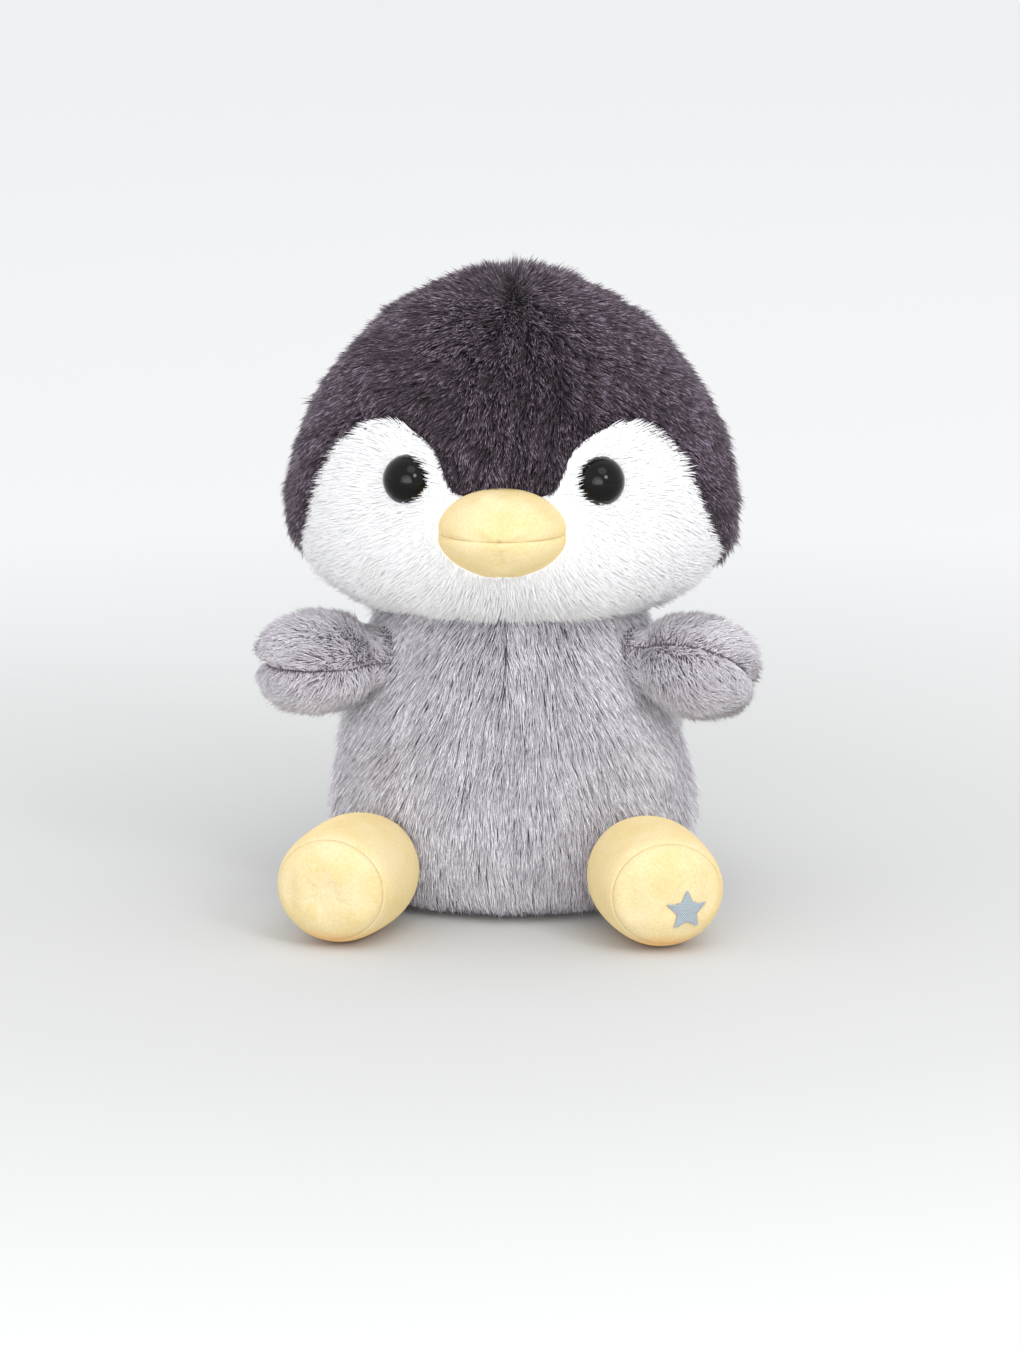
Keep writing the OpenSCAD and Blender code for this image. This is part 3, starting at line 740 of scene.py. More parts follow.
def strand_faces():
    """Loops of one strand's faces, how many corners each has, and its part: 0 at the root, 2 at the tip."""
    loops, sizes, parts = [], [], []
    for k in range(SEGMENTS - 1):
        for c in range(3):
            d = (c + 1) % 3
            loops += [3 * k + c, 3 * k + d, 3 * k + 3 + d, 3 * k + 3 + c]
            sizes.append(4)
            parts.append(k)
    last = 3 * (SEGMENTS - 1)
    for c in range(3):
        loops += [last + c, last + (c + 1) % 3, last + 3]
        sizes.append(3)
        parts.append(SEGMENTS - 1)
    return np.array(loops), np.array(sizes), np.array(parts)


LOOPS, SIZES, PARTS = strand_faces()
STRAND_POINTS = 3 * SEGMENTS + 1


def strand_mesh(name, base, bend, tip, up, radius, family, soft):
    """Tapered three-sided strands along the curves from base past bend to tip. soft is how far their shading
    follows the surface that they grow from."""
    n = len(base)
    points, normals = np.zeros((2, n, STRAND_POINTS, 3))
    for k, t in enumerate(RINGS):
        centre = (1 - t) ** 2 * base + 2 * t * (1 - t) * bend + t**2 * tip
        along = unit((1 - t) * (bend - base) + t * (tip - bend))
        side = unit(np.cross(along, up))
        rise = np.cross(side, along)
        for c in range(3):
            out = cosd(120 * c) * rise + sind(120 * c) * side
            points[:, 3 * k + c] = centre + radius * (1 - 0.75 * t**2) * out
            normals[:, 3 * k + c] = mix(out, up, soft)
    points[:, -1] = tip
    normals[:, -1] = up
    mesh = bpy.data.meshes.new(name)
    mesh.vertices.add(n * STRAND_POINTS)
    mesh.vertices.foreach_set("co", world(points.reshape(-1, 3)).astype(np.float32).ravel())
    starts = np.arange(n)[:, None] * STRAND_POINTS
    mesh.loops.add(n * len(LOOPS))
    mesh.loops.foreach_set("vertex_index", (LOOPS + starts).astype(np.int32).ravel())
    sizes = np.tile(SIZES, n)
    mesh.polygons.add(len(sizes))
    mesh.polygons.foreach_set("loop_start", (np.cumsum(sizes) - sizes).astype(np.int32))
    mesh.polygons.foreach_set("material_index", (family[:, None] * SEGMENTS + PARTS).astype(np.int32).ravel())
    mesh.polygons.foreach_set("use_smooth", np.ones(len(sizes), bool))
    mesh.update(calc_edges=True)
    shading = mesh.attributes.new("custom_normal", "FLOAT_VECTOR", "POINT")
    shading.data.foreach_set("vector", unit(normals).astype(np.float32).ravel())
    return mesh


def scatter(shell, node, density, rng):
    """Random roots over one panel, the way out of the surface at each, and the panel's area."""
    tri, owner = shell.triangles()
    tri = tri[owner == node]
    corner = shell.points[tri]
    size = np.linalg.norm(np.cross(corner[:, 1] - corner[:, 0], corner[:, 2] - corner[:, 0]), axis=1) / 2
    n = int(size.sum() * density * (1.0))
    pick = rng.choice(len(tri), n, p=size / size.sum())
    u, v = rng.random((2, n, 1))
    u, v = np.where(u + v > 1, 1 - u, u), np.where(u + v > 1, 1 - v, v)
    root = corner[pick, 0] * (1 - u - v) + corner[pick, 1] * u + corner[pick, 2] * v
    normals = shell.normals()[tri[pick]]
    up = unit(normals[:, 0] * (1 - u - v) + normals[:, 1] * u + normals[:, 2] * v)
    return root, up, size.sum()


def gather_tufts(root, bend, tip, area, pile, rng):
    """Draws the strands of each tuft together, except along the middle of the toy, where panels meet."""
    n = len(root)
    seeds = rng.choice(n, max(4, int(area / pile["tuft"] ** 2)), replace=False)
    _, near = nearest(root, root[seeds])
    pull = pile["gather"] * rng.uniform(0.5, 1.1, (n, 1)) * smooth(np.abs(root[:, :1]), 0, 3)
    lean = root[seeds][near] - root
    return (
        bend + 0.4 * pull * (lean + bend[seeds][near] - bend),
        tip + pull * (lean + tip[seeds][near] - tip),
    )


def keep_clear(root, bend, tip, blocked):
    """Shortens the strands that reach into what they keep out of, and says which ones are clear of it."""
    clear = np.ones(len(root), bool)
    for depth in blocked:
        clear &= depth(root) < 0.3
        for _ in range(5):
            inside = (depth(root + tip) > 0.1) | (depth(root + 0.6 * bend + 0.3 * tip) > 0.1)
            tip[inside] *= 0.72
            bend[inside] *= 0.72
        clear &= depth(root + tip) < 0.3
    return clear


def fur(name, body, shell, node, pile, flow, materials, seed, reach, blocked, lift=None):
    """Grows the pile of one panel. flow gives a direction at each root, reach a share of the full length,
    blocked are depths of things that the strands keep out of, and lift is how many degrees they rise above
    their usual lie."""
    rng = np.random.default_rng(seed)
    root, up, area = scatter(shell, node, pile["density"], rng)
    n = len(root)
    noise = ripple(root, pile["swirl"], seed + 1)
    along = tangent(flow(root), up)
    side = np.cross(up, along)
    swing = np.radians(pile["wander"]) * (noise[:, :1] + 0.7 * rng.normal(size=(n, 1)))
    along = along * np.cos(swing) + side * np.sin(swing)
    share = reach(root)
    raised = np.zeros((n, 1)) if lift is None else lift(root)[:, None]
    uneven = (0.85 + 0.1 * noise[:, 1] + 0.16 * rng.normal(size=n)).clip(0.35, 1.3)
    length = (pile["length"] * share * uneven)[:, None]
    rise = np.radians(pile["rise"] + 0.5 * raised + 7 * rng.normal(size=(n, 1)))
    lay = np.radians(pile["lay"] + raised + 9 * rng.normal(size=(n, 1)) + 8 * noise[:, 2:])
    bend = 0.42 * length * (along * np.cos(rise) + up * np.sin(rise))
    tip = bend + 0.58 * length * (along * np.cos(lay) + up * np.sin(lay))
    bend, tip = gather_tufts(root, bend, tip, area, pile, rng)
    keep = (share > 0.05) & keep_clear(root, bend, tip, blocked)
    floor_gap = rng.uniform(0.4, 4.5, n)
    tip[:, 2] = np.maximum(tip[:, 2], floor_gap - root[:, 2])
    bend[:, 2] = np.maximum(bend[:, 2], 0.4 - root[:, 2])

    radius = pile["radius"] * rng.uniform(0.7, 1.15, (n, 1))
    # painted shade: the lowest pile, by the floor, takes the darker families of strands
    painted_floor_shade = 1 - smooth(root[:, 2], 2, 13)
    family = np.digitize(noise[:, 0] * 0.12 + rng.random(n) - 0.55 * painted_floor_shade, [0.3, 0.8])
    chosen = np.flatnonzero(keep)
    count = -(-len(chosen) // STRANDS_PER_PIECE)
    pieces = []
    for k in range(count):
        i = chosen[k::count]
        mesh = strand_mesh(f"{name}_{k + 1}", root[i] - 0.3 * up[i], root[i] + bend[i], root[i] + tip[i],
                           up[i], radius[i], family[i], pile["soft"])
        pieces.append(add_object(f"{name}_{k + 1}", mesh, body, materials))
    return pieces


CAP_PILE = dict(density=4.2, length=6.6, rise=62, lay=26, radius=0.15,
                wander=18, swirl=12, tuft=1.1, gather=0.5, soft=0.45)
FACE_PILE = dict(density=4.2, length=4.4, rise=50, lay=13, radius=0.15,
                 wander=8, swirl=18, tuft=1.6, gather=0.1, soft=0.6)
BODY_PILE = dict(density=4.0, length=8.5, rise=42, lay=10, radius=0.15,
                 wander=8, swirl=22, tuft=1.0, gather=0.5, soft=0.45)
ARM_PILE = dict(density=5.2, length=4.8, rise=56, lay=24, radius=0.13,
                wander=20, swirl=9, tuft=1.0, gather=0.22, soft=0.6)


# ---- head ----

CAP_ROWS, FACE_ROWS, BACK_COLS, EDGE_STEPS = 26, 16, 22, 5
CROWN = direction(0.0, 90 - CROWN_TILT)


def cap_edge():
    """Angles from the front, and directions, along the edge of cap and face, from the beak to the neck."""
    keys = [(theta, float(latitude(np.float64(z)))) for theta, z in CAP_KEYS]
    keys.append((CAP_BACK, float(rim_latitude(np.float64(CAP_BACK)))))
    found = curve(keys, np.linspace(0, len(keys) - 1, (len(keys) - 1) * EDGE_STEPS + 1))
    return found[:, 0], direction(found[:, 0], found[:, 1])


def from_crown(u, t):
    """Straight down from the crown; below the widest line, down the side of the head."""
    low = u[:, 2:] < 0
    waist = np.where(low, unit(u * [1, 1, 0]), u)
    share = np.where(low, 90 / (90 - np.degrees(np.arcsin(u[:, 2:]))), 1.0)
    above = arc(np.broadcast_to(CROWN, u.shape), waist, np.minimum(t / share, 1))
    below = arc(waist, u, np.clip((t - share) / np.maximum(1 - share, 1e-6), 0, 1))
    return np.where(t <= share, above, below)


def make_head_shell():
    theta, edge = cap_edge()
    low = rim(theta)
    forehead = np.concatenate([edge[:0:-1] * [-1, 1, 1], edge])
    back = rim(np.linspace(CAP_BACK, 180, BACK_COLS + 1))
    cap = np.linspace(0, 1, CAP_ROWS + 1)
    shell = Shell()
    shell.add("cap_forehead", [on_head(from_crown(forehead, t), FABRIC_IN) for t in cap])
    down = np.linspace(0, 1, FACE_ROWS + 1)
    face = np.stack([on_head(arc(edge, low, t), FABRIC_IN) for t in down], 1)[::-1]
    for name, side in (("left", LEFT), ("right", RIGHT)):
        shell.add("cap_back_" + name, [on_head(from_crown(back, t), FABRIC_IN) for t in cap], side=side)
        shell.add("face_" + name, face, side=side)
    return shell.weld()


# ---- body ----

def make_body_shell():
    rows = np.concatenate([np.linspace(3, 2, 9), np.linspace(2, 1, 16)[1:], np.linspace(1, 0, 11)[1:]])
    front = np.arange(0, SIDE_SEAM + 1, 5.0)
    back = np.arange(SIDE_SEAM, 181, 5.0)
    shell = Shell()
    for name, side in (("left", LEFT), ("right", RIGHT)):
        shell.add("body_front_" + name, [on_body(front, s, FABRIC_IN) for s in rows], side=side)
        shell.add("body_back_" + name, [on_body(back, s, FABRIC_IN) for s in rows], side=side)
    rim_points = on_body(np.arange(0, 360, 5.0), 0.0, FABRIC_IN)
    shell.add("base_panel", [rim_points * [t, t, 1] for t in np.linspace(1, 0, 9)], ring=True)
    return shell.weld()


# ---- limbs and beak ----

def make_arm_shell(name, place):
    shell = Shell()
    parts = np.concatenate([np.linspace(0, 1, 17), np.linspace(1, 2, 6)[1:]])
    for half, start in (("upper", 0), ("lower", 180)):
        psi = np.linspace(start, start + 180, 25)
        grid = np.stack([arm_point(part, psi, FABRIC_IN) for part in parts])
        shell.add(f"arm_{name}_{half}", grid @ place.turn.T + place.centre, side=place.side)
    return shell.weld()


def make_foot_shell(name, place):
    shell = Shell()
    psi = np.arange(0, 360, 5.0)
    sole = np.stack([foot_point(s, psi, FABRIC_IN) for s in np.linspace(0, 1, 11)])
    wall = np.stack([foot_point(s, psi, FABRIC_IN) for s in np.linspace(1, 3, 31)])
    shell.add(f"foot_{name}_sole", sole @ place.turn.T + place.centre, ring=True, side=place.side)
    shell.add(f"foot_{name}_wall", wall @ place.turn.T + place.centre, ring=True, side=place.side)
    return shell.weld()


def make_beak_shell():
    shell = Shell()
    for half, start in (("upper", 0), ("lower", 180)):
        psi = np.linspace(start, start + 180, 33)
        rows = [on_beak(t * (beak_rim(psi) + 3), psi, FABRIC_IN) for t in np.linspace(0, 1, 15)]
        shell.add("beak_" + half, rows)
    return shell.weld()


# ---- flows of the pile ----

CROWN_POINT = on_head(CROWN)


def cap_flow(root):
    """Away from the crown, and combed down; parted along the short dart in front of the crown."""
    away = unit(root - CROWN_POINT)
    ahead = CROWN_POINT[1] - root[:, 1:2]
    parted = np.exp(-((root[:, :1] / 5) ** 2)) * smooth(ahead, 0, 3) * (1 - smooth(ahead, 8, 20))
    return away + stack(0.0, 0.0, -0.35) + np.sign(root[:, :1]) * parted * stack(0.5, 0.0, 0.0)


def cap_lift(root):
    """The pile stands up about the crown."""
    return 40 * (1 - smooth(np.linalg.norm(root - CROWN_POINT, axis=1), 2, 12))


def face_flow(root):
    """Out from the beak, and down below it."""
    away = unit(root - (BEAK_CENTRE + [0, 8, 4]))
    return away + stack(0.0, 0.0, -0.25)


def body_flow(root):
    """Down and outwards from the neck."""
    return unit(root * [1.0, 0.6, 1.0] - [0, 0, 118]) + stack(0.0, 0.0, -0.25)


def arm_flow(place):
    """Towards the tip and away from the seam, above it and below it."""
    def flow(root):
        local = place.back(root)
        parting = 0.45 * np.sign(local[:, 2]) * np.exp(-((local[:, 2] / 6) ** 2))
        return place.turned(stack(0.6, 0.0, parting)) + stack(0.0, 0.0, -0.25)
    return flow


# ---- trims: how long the pile is from place to place ----

CAP_EDGE = on_head(cap_edge()[1])


def from_cap_edge(root):
    """Distance to the edge between cap and face."""
    return nearest(stack(np.abs(root[:, 0]), root[:, 1], root[:, 2]), CAP_EDGE)[0]


def cap_reach(root):
    """Trimmed along the edge to the face, and none under the beak."""
    trim = mix(0.3, 1.0, smooth(from_cap_edge(root), 0.0, 10.0))
    return np.where(beak_depth(root) > -0.5, 0, trim)


def from_eye(root):
    """Distance to the middle of the nearer eye."""
    return np.linalg.norm(np.abs(root) * [1, 0, 1] + root * [0, 1, 0] - EYE_AT, axis=1)


def face_reach(root):
    """Longer under the chin and by the cap, shorter by the beak, and none under the eyes and the beak."""
    chin = 1 + 0.45 * smooth(-root[:, 2], -108, -92)
    brow = 1 + 0.15 * (1 - smooth(from_cap_edge(root), 1.0, 5.0))
    by_beak = mix(0.55, 1.0, smooth(-beak_depth(root), 0, 5))
    return np.where((beak_depth(root) > 0.2) | (from_eye(root) < EYE_R - 1.0), 0, chin * brow * by_beak)


def face_lift(root):
    """The pile beside the beak stands up against it. On the beak's side of an eye and under it, it stands up
    and laps over the eye's edge."""
    inner = smooth(EYE_X - np.abs(root[:, 0]), -1, 3)
    under = 0.6 * smooth(EYE_Z - root[:, 2], 2, 5)
    by_eye = 30 * np.maximum(0.3, np.maximum(inner, under)) * (1 - smooth(from_eye(root), 8.5, 12))
    return np.maximum(by_eye, 50 * (1 - smooth(-beak_depth(root), 0.3, 4)))


def body_reach(root):
    """Shorter by the floor and at the collar, and flattened under the label."""
    share = mix(0.4, 1.0, smooth(root[:, 2], 0, 14)) * mix(1.0, 0.6, smooth(root[:, 2], 86, 100))
    from_back = np.degrees(np.arctan2(root[:, 0], root[:, 1]))
    label = (np.abs(from_back - 15) < 16) & (np.abs(root[:, 2] - 18) < 10)
    return share * np.where(label, 0.3, 1.0)


def arm_reach(place):
    """Trimmed along the seam, and none on the part of the root that is inside the body."""
    def reach(root):
        local = place.back(root)
        seam = np.exp(-((local[:, 2] / 1.5) ** 2))
        return (1 - 0.6 * seam) * smooth(local[:, 0], -3, 1)
    return reach


def arms_depth(p):
    return np.maximum(arm_depth(ARMS["left"], p), arm_depth(ARMS["right"], p))


def feet_depth(p):
    return np.maximum(foot_depth(FEET["left"], p), foot_depth(FEET["right"], p))


# ---- small parts ----

def lathe(name, profile, at, out, segments=72):
    """A turned part: (radius, height) pairs about the axis out from at."""
    frame_turn = np.array(Vector(out).to_track_quat("Z", "Y").to_matrix())
    angle = np.arange(segments) * 360 / segments
    rings = [stack(r * cosd(angle), r * sind(angle), np.float64(h)) for r, h in profile]
    points = np.concatenate(rings) @ frame_turn.T + at
    return smooth_mesh(name, points, quads(len(profile), segments, ring=True).tolist())


def eye_profile():
    """From the middle of the dome, over its rim, and back along the ribbed shank."""
    dome_r = (EYE_R**2 + EYE_DOME**2) / (2 * EYE_DOME)
    low = np.degrees(np.arcsin(EYE_R / dome_r))
    top = EYE_RIM + EYE_DOME - dome_r + 0.15
    profile = [(dome_r * sind(a), top + dome_r * cosd(a)) for a in np.linspace(0.01, low - 1, 20)]
    profile += [(EYE_R, 1.0), (EYE_R, 0.5), (EYE_R - 0.25, 0.15), (2.4, 0.15), (1.9, -0.4)]
    for k in range(4):
        z = -4.9 - 2 * k
        profile += [(1.9, z), (2.3, z - 0.15), (2.3, z - 0.85), (1.9, z - 1.0)]
    return profile + [(1.7, -12.85), (0.01, -12.85)]


def tubes(name, lines, radius, sides=6):
    """Round threads along lines of points."""
    points, faces = [], []
    for line in lines:
        line = np.asarray(line)
        along = unit(np.gradient(line, axis=0))
        side = unit(np.cross(along, [0.3, 0.2, 0.93]))
        rise = np.cross(side, along)
        start = len(points) * sides
        for k, centre in enumerate(line):
            angle = np.arange(sides)[:, None] * 360 / sides
            points.append(centre + radius * (cosd(angle) * side[k] + sind(angle) * rise[k]))
        for k in range(len(line) - 1):
            for j in range(sides):
                i = (j + 1) % sides
                a, b = start + k * sides, start + (k + 1) * sides
                faces.append([a + j, a + i, b + i, b + j])
        faces.append(list(range(start + sides - 1, start - 1, -1)))
        last = start + (len(line) - 1) * sides
        faces.append(list(range(last, last + sides)))
    return smooth_mesh(name, np.concatenate(points), faces)


def seam_line(shell, path):
    """The seam that runs nearest to a path, with a point for each of the path's."""
    seam, _ = shell.seams()
    places = shell.points[seam]
    _, near = nearest(path, places)
    return places[near]


def stitches(name, body, line, pitch, length, sunk, material):
    """Thread showing as short dashes along a seam; sunk is how far it lies below the line."""
    walked = np.concatenate([[0], np.cumsum(np.linalg.norm(np.diff(line, axis=0), axis=1))])
    dashes = []
    for start in np.arange(pitch / 2, walked[-1] - length, pitch):
        at = np.linspace(start, start + length, 5)
        dash = np.stack([np.interp(at, walked, line[:, k]) for k in range(3)], 1)
        dip = sunk[None] * (1 + 0.3 * np.cos(np.linspace(0, 2 * np.pi, 5)))[:, None]
        dashes.append(dash + dip)
    return add_object(name, tubes(name, dashes, 0.14), body, [material])


def star_rows(radius, waist, gap):
    """Rows across a five-pointed star, one for each satin stitch: (height, start, end)."""
    turns = np.arange(10) * 36.0 + 90
    r = np.where(np.arange(10) % 2 == 0, radius, waist)
    x, y = r * cosd(turns), r * sind(turns)
    rows = []
    for height in np.arange(y.min() + gap, y.max(), gap):
        crossings = []
        for a in range(10):
            b = (a + 1) % 10
            if (y[a] - height) * (y[b] - height) < 0:
                crossings.append(x[a] + (x[b] - x[a]) * (height - y[a]) / (y[b] - y[a]))
        crossings.sort()
        rows += [(height, a, b) for a, b in zip(crossings[::2], crossings[1::2]) if b - a > 0.3]
    return rows


def stuffing(node, body, shrink=0.7):
    """The fibre of one part: its design's solid, remeshed and drawn in to uneven lumps."""
    source = frame["nodes"][node]
    obj = bpy.data.objects.new("remesh", source.data.copy())
    SCENE.collection.objects.link(obj)
    obj.matrix_world = source.matrix_world
    modifier = obj.modifiers.new("voxels", "REMESH")
    modifier.mode = "VOXEL"
    modifier.voxel_size = 2.2 * MM
    shown = obj.evaluated_get(bpy.context.evaluated_depsgraph_get())
    mesh = bpy.data.meshes.new_from_object(shown)
    bpy.data.objects.remove(obj)
    mesh.name = "fibre_" + node
    n = len(mesh.vertices)
    points, normals = np.zeros(n * 3), np.zeros(n * 3)
    mesh.vertices.foreach_get("co", points)
    mesh.vertices.foreach_get("normal", normals)
    points = (points.reshape(-1, 3) - AXIS) / MM
    lumps = 0.6 * ripple(points, 9, 5)[:, :1] + 0.4 * ripple(points, 3.5, 6)[:, :1]
    points = points - normals.reshape(-1, 3) * shrink * (0.5 + 0.5 * np.clip(lumps, -1, 1))
    mesh.vertices.foreach_set("co", world(points).ravel())
    mesh.materials.clear()
    mesh.polygons.foreach_set("use_smooth", [True] * len(mesh.polygons))
    made = add_object("fibre_" + node, mesh, body, [FIBRE], [node])
    return made


# ---- the toy ----

VELOUR = velour("velour")
FIBRE = fibre("fibre")
# The cap and body knits are darker than their pile: partly the backing's own tone, partly painted shade in
# the gaps between strands, by the arms and under the bottom fringe.
CAP_KNIT = knit("cap_knit", "1E191F", "3A333B")
FACE_KNIT = knit("face_knit", "EEEEEE", "FAFAFA")
BODY_KNIT = knit("body_knit", "58525A", "837C84")
EYE_BLACK = eye_black("eye_black")
WASHER = washer_plastic("washer_plastic")
PIT_THREAD = thread("pit_thread", "DDB568", "E6C98C")
MOTIF_THREAD = thread("motif_thread", "7C8890", "AEB8BF")
TAPE = woven_tape("woven_tape")

# Each family runs from a dark root to a light tip: partly the pile's own tone, partly painted shade deep in
# the pile.
CAP_TINTS = strand_tints("cap_pile", [
    ("130E13", "271E26", "3E323B"), ("1A141A", "3A2F39", "5B4D59"), ("251D25", "594A58", "97899A"),
])
FACE_TINTS = strand_tints("face_pile", [
    ("F6F6F7", "F9F9FA", "FCFCFD"), ("F7F7F8", "FAFAFB", "FDFDFE"), ("F8F8F9", "FBFBFC", "FEFEFE"),
], 0.7)
BODY_TINTS = strand_tints("body_pile", [
    ("6E676F", "9F99A1", "BAB6BD"), ("8A838C", "BBB7BE", "D6D3DA"), ("A09AA2", "D6D3D9", "F8F7FB"),
])
ARM_TINTS = strand_tints("arm_pile", [
    ("968E97", "B6AFB7", "C8C3CA"), ("A49DA5", "C2BCC3", "D8D4DA"), ("B0A9B1", "D4CFD5", "EEECF0"),
])


def build_head():
    shell = make_head_shell()
    pinch(shell, 0.5, 2.5)
    inflate(shell, 4.0, 1.2)
    for node in ("cap_forehead", "cap_back_left", "cap_back_right"):
        fabric_panel(node, "head", shell, CAP_KNIT)
    for node in ("face_left", "face_right"):
        fabric_panel(node, "head", shell, FACE_KNIT)
    for seed, node in enumerate(("cap_forehead", "cap_back_left", "cap_back_right")):
        fur("pile_" + node, "head", shell, node, CAP_PILE, cap_flow, CAP_TINTS, 10 + seed,
            cap_reach, (arms_depth,), cap_lift)
    for seed, node in enumerate(("face_left", "face_right")):
        fur("pile_" + node, "head", shell, node, FACE_PILE, face_flow, FACE_TINTS, 20 + seed,
            face_reach, (beak_depth, arms_depth), face_lift)
    stuffing("head_stuffing", "head")
    stuffing("neck_stuffing", "neck")


def build_body():
    shell = make_body_shell()
    base = shell.points[:, 2] < 1.0
    upper_centre = (np.abs(shell.points[:, 0]) < 0.5) & (shell.points[:, 2] > 30)
    pinch(shell, 0.25, 2.0, free=upper_centre)
    inflate(shell, 4.0, 0.6, flat=base, free=upper_centre)
    for node in ("body_front_left", "body_front_right", "body_back_left", "body_back_right", "base_panel"):
        fabric_panel(node, "torso", shell, BODY_KNIT)
    for seed, node in enumerate(("body_front_left", "body_front_right", "body_back_left", "body_back_right")):
        fur("pile_" + node, "torso", shell, node, BODY_PILE, body_flow, BODY_TINTS, 30 + seed,
            body_reach, (head_depth, arms_depth, feet_depth))
    stuffing("body_stuffing", "torso")


def limb_blend(obj, place):
    """Takes the piece off its parent, with its place baked into its points; the start and end points found
    here are not used.
    """
    start, end = (world(place.out(np.array([x, 0.0, 0.0]))) for x in (-3.0, 6.0))
    obj.parent = None
    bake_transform(obj)


def build_arm(name):
    place, body = ARMS[name], "arm_" + name
    shell = make_arm_shell(name, place)
    bare = shell.points
    pinch(shell, 1.3, 1.6)
    shell.points = mix(bare, shell.points, smooth(place.back(bare)[:, :1], 2, 9))
    inflate(shell, 4.0, 1.6)
    for seed, half in enumerate(("upper", "lower")):
        node = f"arm_{name}_{half}"
        limb_blend(fabric_panel(node, None, shell, BODY_KNIT), place)
        pieces = fur("pile_" + node, None, shell, node, ARM_PILE, arm_flow(place), ARM_TINTS,
                     40 + seed + (10 if name == "left" else 0), arm_reach(place), (head_depth, body_depth))
        for piece in pieces:
            limb_blend(piece, place)
    stuffing(f"arm_{name}_stuffing", body, 1.4)


def build_foot(name):
    place, body = FEET[name], "foot_" + name
    shell = make_foot_shell(name, place)
    pinch(shell, 0.7, 2.4)
    inflate(shell, 4.0, 1.0, gather=0.03)
    for part in ("sole", "wall"):
        panel = fabric_panel(f"foot_{name}_{part}", None, shell, VELOUR)
        limb_blend(panel, place)
    rim_path = foot_point(np.float64(1.0), np.arange(0, 361, 5.0), FABRIC_IN)
    inward = place.turned(np.array([[-0.5, 0.0, 0.0]]))[0]
    line = seam_line(shell, place.out(rim_path))
    stitches(f"stitches_foot_{name}", body, line, 3.1, 1.3, inward, PIT_THREAD)
    if name == "right":
        build_motif(shell, place, body)
    stuffing(f"foot_{name}_stuffing", body, 0.5)


def build_motif(shell, place, body):
    """Star of satin stitches on the outer lower part of the sole, each stitch padded up in its middle."""
    surface = BVHTree.FromPolygons(shell.points.tolist(), shell.faces)
    outward = place.turned(np.array([[1.0, 0.0, 0.0]]))[0]
    threads = []
    for height, start, end in star_rows(MOTIF_R, MOTIF_R / 2, 0.42):
        across = np.linspace(start, end, 9)
        flat = stack(FOOT_L + 15, MOTIF_AT[0] + across, MOTIF_AT[1] + height)
        hits = [surface.ray_cast(Vector(p), Vector(-outward))[0] for p in place.out(flat)]
        puff = 0.12 + 0.42 * np.sin(np.linspace(0.15, np.pi - 0.15, 9))
        threads.append(np.array(hits) + outward * puff[:, None])
    mesh = tubes("motif", threads, 0.24)
    add_object("motif", mesh, body, [MOTIF_THREAD], ["foot_motif"])


def build_label():
    """Blank woven tape folded double, its raw ends caught in the back seam."""
    seam, fold = 178.5, 153.0
    out_way = np.concatenate([np.linspace(seam, fold, 14), [152.3, 152, 152.3], np.linspace(fold, seam, 14)])
    layer = np.concatenate([np.full(14, 0.5), [0.6, 0.85, 1.1], np.full(14, 1.2)])
    rows = np.linspace(0.95, 0.62, 9)
    wave = 0.25 * np.sin(np.linspace(0, 5, len(out_way)))
    grid = np.stack([on_body(out_way, s, -(layer + wave + 4 * (seam - out_way) / 26)) for s in rows])
    mesh = smooth_mesh("tape_label", grid.reshape(-1, 3), quads(len(rows), len(out_way)).tolist())
    tape = add_object("tape_label", mesh, "torso", [TAPE], ["care_label"])
    thicken(tape, 0.25)
    subdivide(tape)


def build_beak():
    shell = make_beak_shell()
    pinch(shell, 0.4, 1.6)
    inflate(shell, 4.0, 0.7, gather=0.03)
    for half in ("upper", "lower"):
        fabric_panel("beak_" + half, "head", shell, VELOUR)
    reach = np.linspace(1, 0, 15)
    side = [on_beak(reach * (beak_rim(psi) + 3), psi, FABRIC_IN) for psi in (np.float64(180), np.float64(0))]
    line = seam_line(shell, np.concatenate([side[0], side[1][-2::-1]]))
    stitches("stitches_beak", "head", line, 2.3, 1.1, np.array([0.0, 0.35, 0.0]), PIT_THREAD)
    stuffing("beak_stuffing", "head", 0.5)


def build_eyes():
    for name, side in (("left", LEFT), ("right", RIGHT)):
        mesh = lathe("eye_" + name, eye_profile(), (EYE_AT - EYE_SUNK * EYE_OUT) * [side, 1, 1],
                     EYE_OUT * [side, 1, 1])
        add_object("button_eye_" + name, mesh, "head", [EYE_BLACK], ["eye_" + name])
        washer = frame["nodes"]["eye_washer_" + name]
        washer.data.materials.clear()
        washer.data.materials.append(WASHER)


# ---- camera, light and floor ----

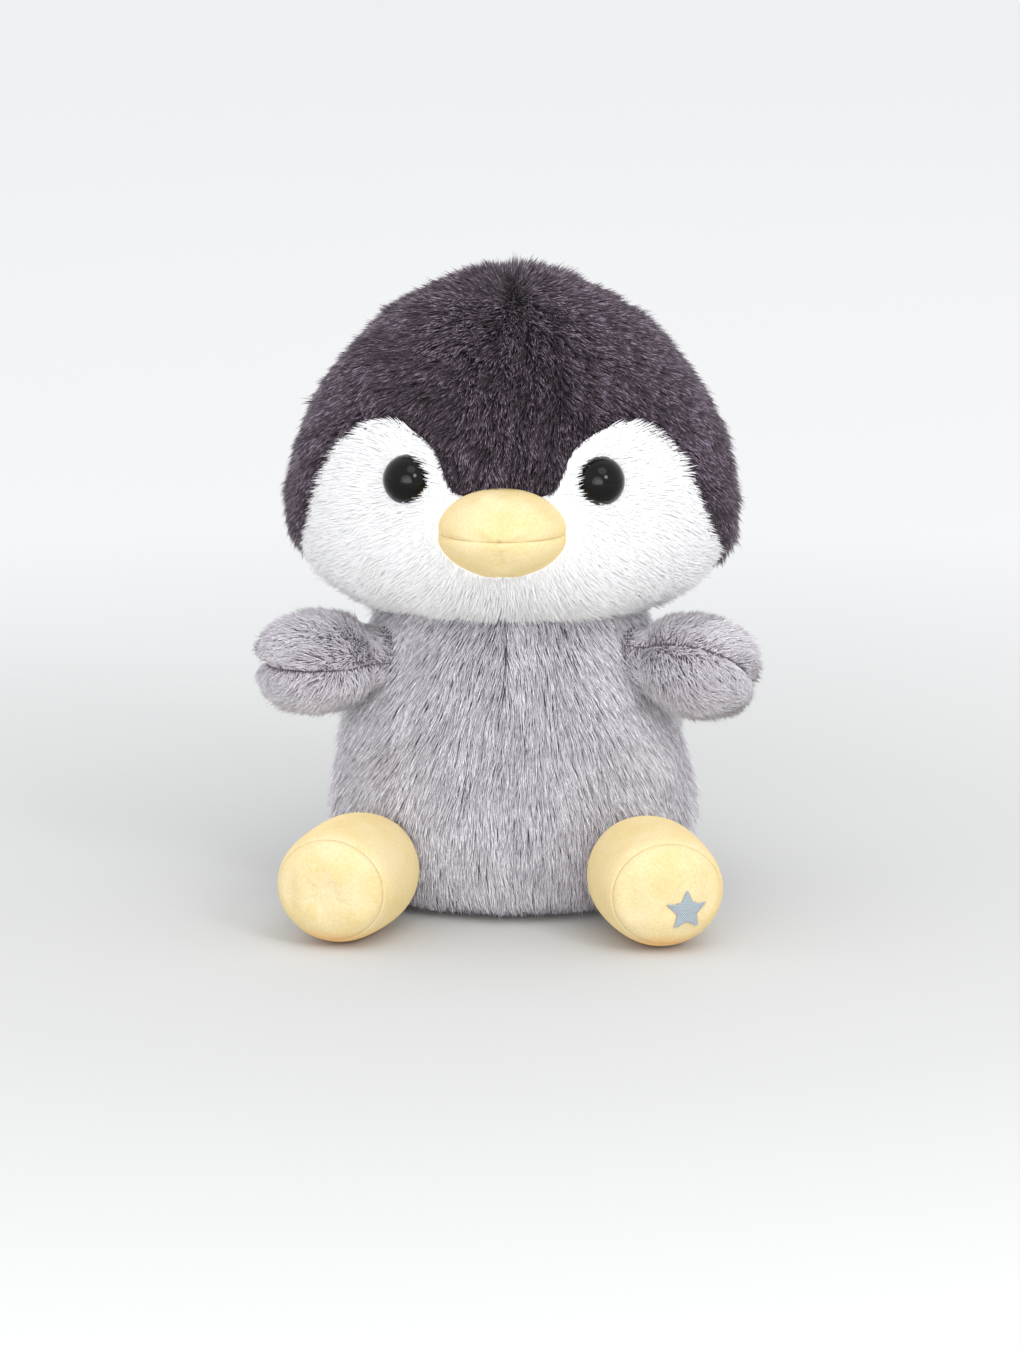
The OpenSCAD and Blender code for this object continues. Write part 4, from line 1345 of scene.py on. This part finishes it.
def make_floor(r=14.0):
    floor = bpy.data.meshes.new("floor")
    floor.from_pydata([(-r, -r, 0), (r, -r, 0), (r, r, 0), (-r, r, 0)], [], [(0, 1, 2, 3)])
    ground = bpy.data.objects.new("floor", floor)
    floor.materials.append(paper("paper"))
    SCENE.collection.objects.link(ground)


def make_lights():
    """A pale room and round soft boxes: name, place, watts and diameter."""
    world_light = bpy.data.worlds.new("world")
    world_light.use_nodes = True
    world_light.node_tree.nodes["Background"].inputs["Color"].default_value = linear("F4F5F7")
    world_light.node_tree.nodes["Background"].inputs["Strength"].default_value = 1.24
    SCENE.world = world_light
    for name, place, power, size in (
        ("key", (0.5, -1.1, 1.9), 7.4, 1.3),
        ("front", (-0.2, -2.2, 0.28), 26.0, 2.0),
        ("fill", (0.0, -1.3, 0.12), 3.5, 0.8),
        ("window", (0.75, -1.05, 0.75), 4.0, 0.35),
        ("back", (0.2, 1.6, 1.7), 2.0, 1.2),
    ):
        lamp = bpy.data.lights.new(name, "AREA")
        lamp.shape = "DISK"
        lamp.energy = power
        lamp.size = size
        obj = bpy.data.objects.new(name, lamp)
        obj.location = place
        obj.rotation_euler = (Vector((0, 0, 0.08)) - Vector(place)).to_track_quat("-Z", "Y").to_euler()
        SCENE.collection.objects.link(obj)


def make_camera():
    """Slightly above the toy and to one side, in metres and degrees; seen is the height that it takes in."""
    camera = bpy.data.objects.new("camera", bpy.data.cameras.new("camera"))
    distance, elevation, yaw, seen = 1.5, 11.5, 3.0, 0.3944
    target = Vector((0.0, 0.0, 0.065))
    away = Vector((sind(yaw) * cosd(elevation), -cosd(yaw) * cosd(elevation), sind(elevation)))
    camera.location = target + away * distance
    camera.rotation_euler = away.to_track_quat("Z", "Y").to_euler()
    camera.data.sensor_fit = "VERTICAL"
    camera.data.sensor_height = 24
    camera.data.lens = 24 * distance / seen
    SCENE.collection.objects.link(camera)
    SCENE.camera = camera


build_head()
build_body()
build_label()
build_beak()
build_eyes()
for limb in ("left", "right"):
    build_arm(limb)
    build_foot(limb)
make_floor()
make_lights()
make_camera()
SCENE.view_settings.view_transform = "Standard"
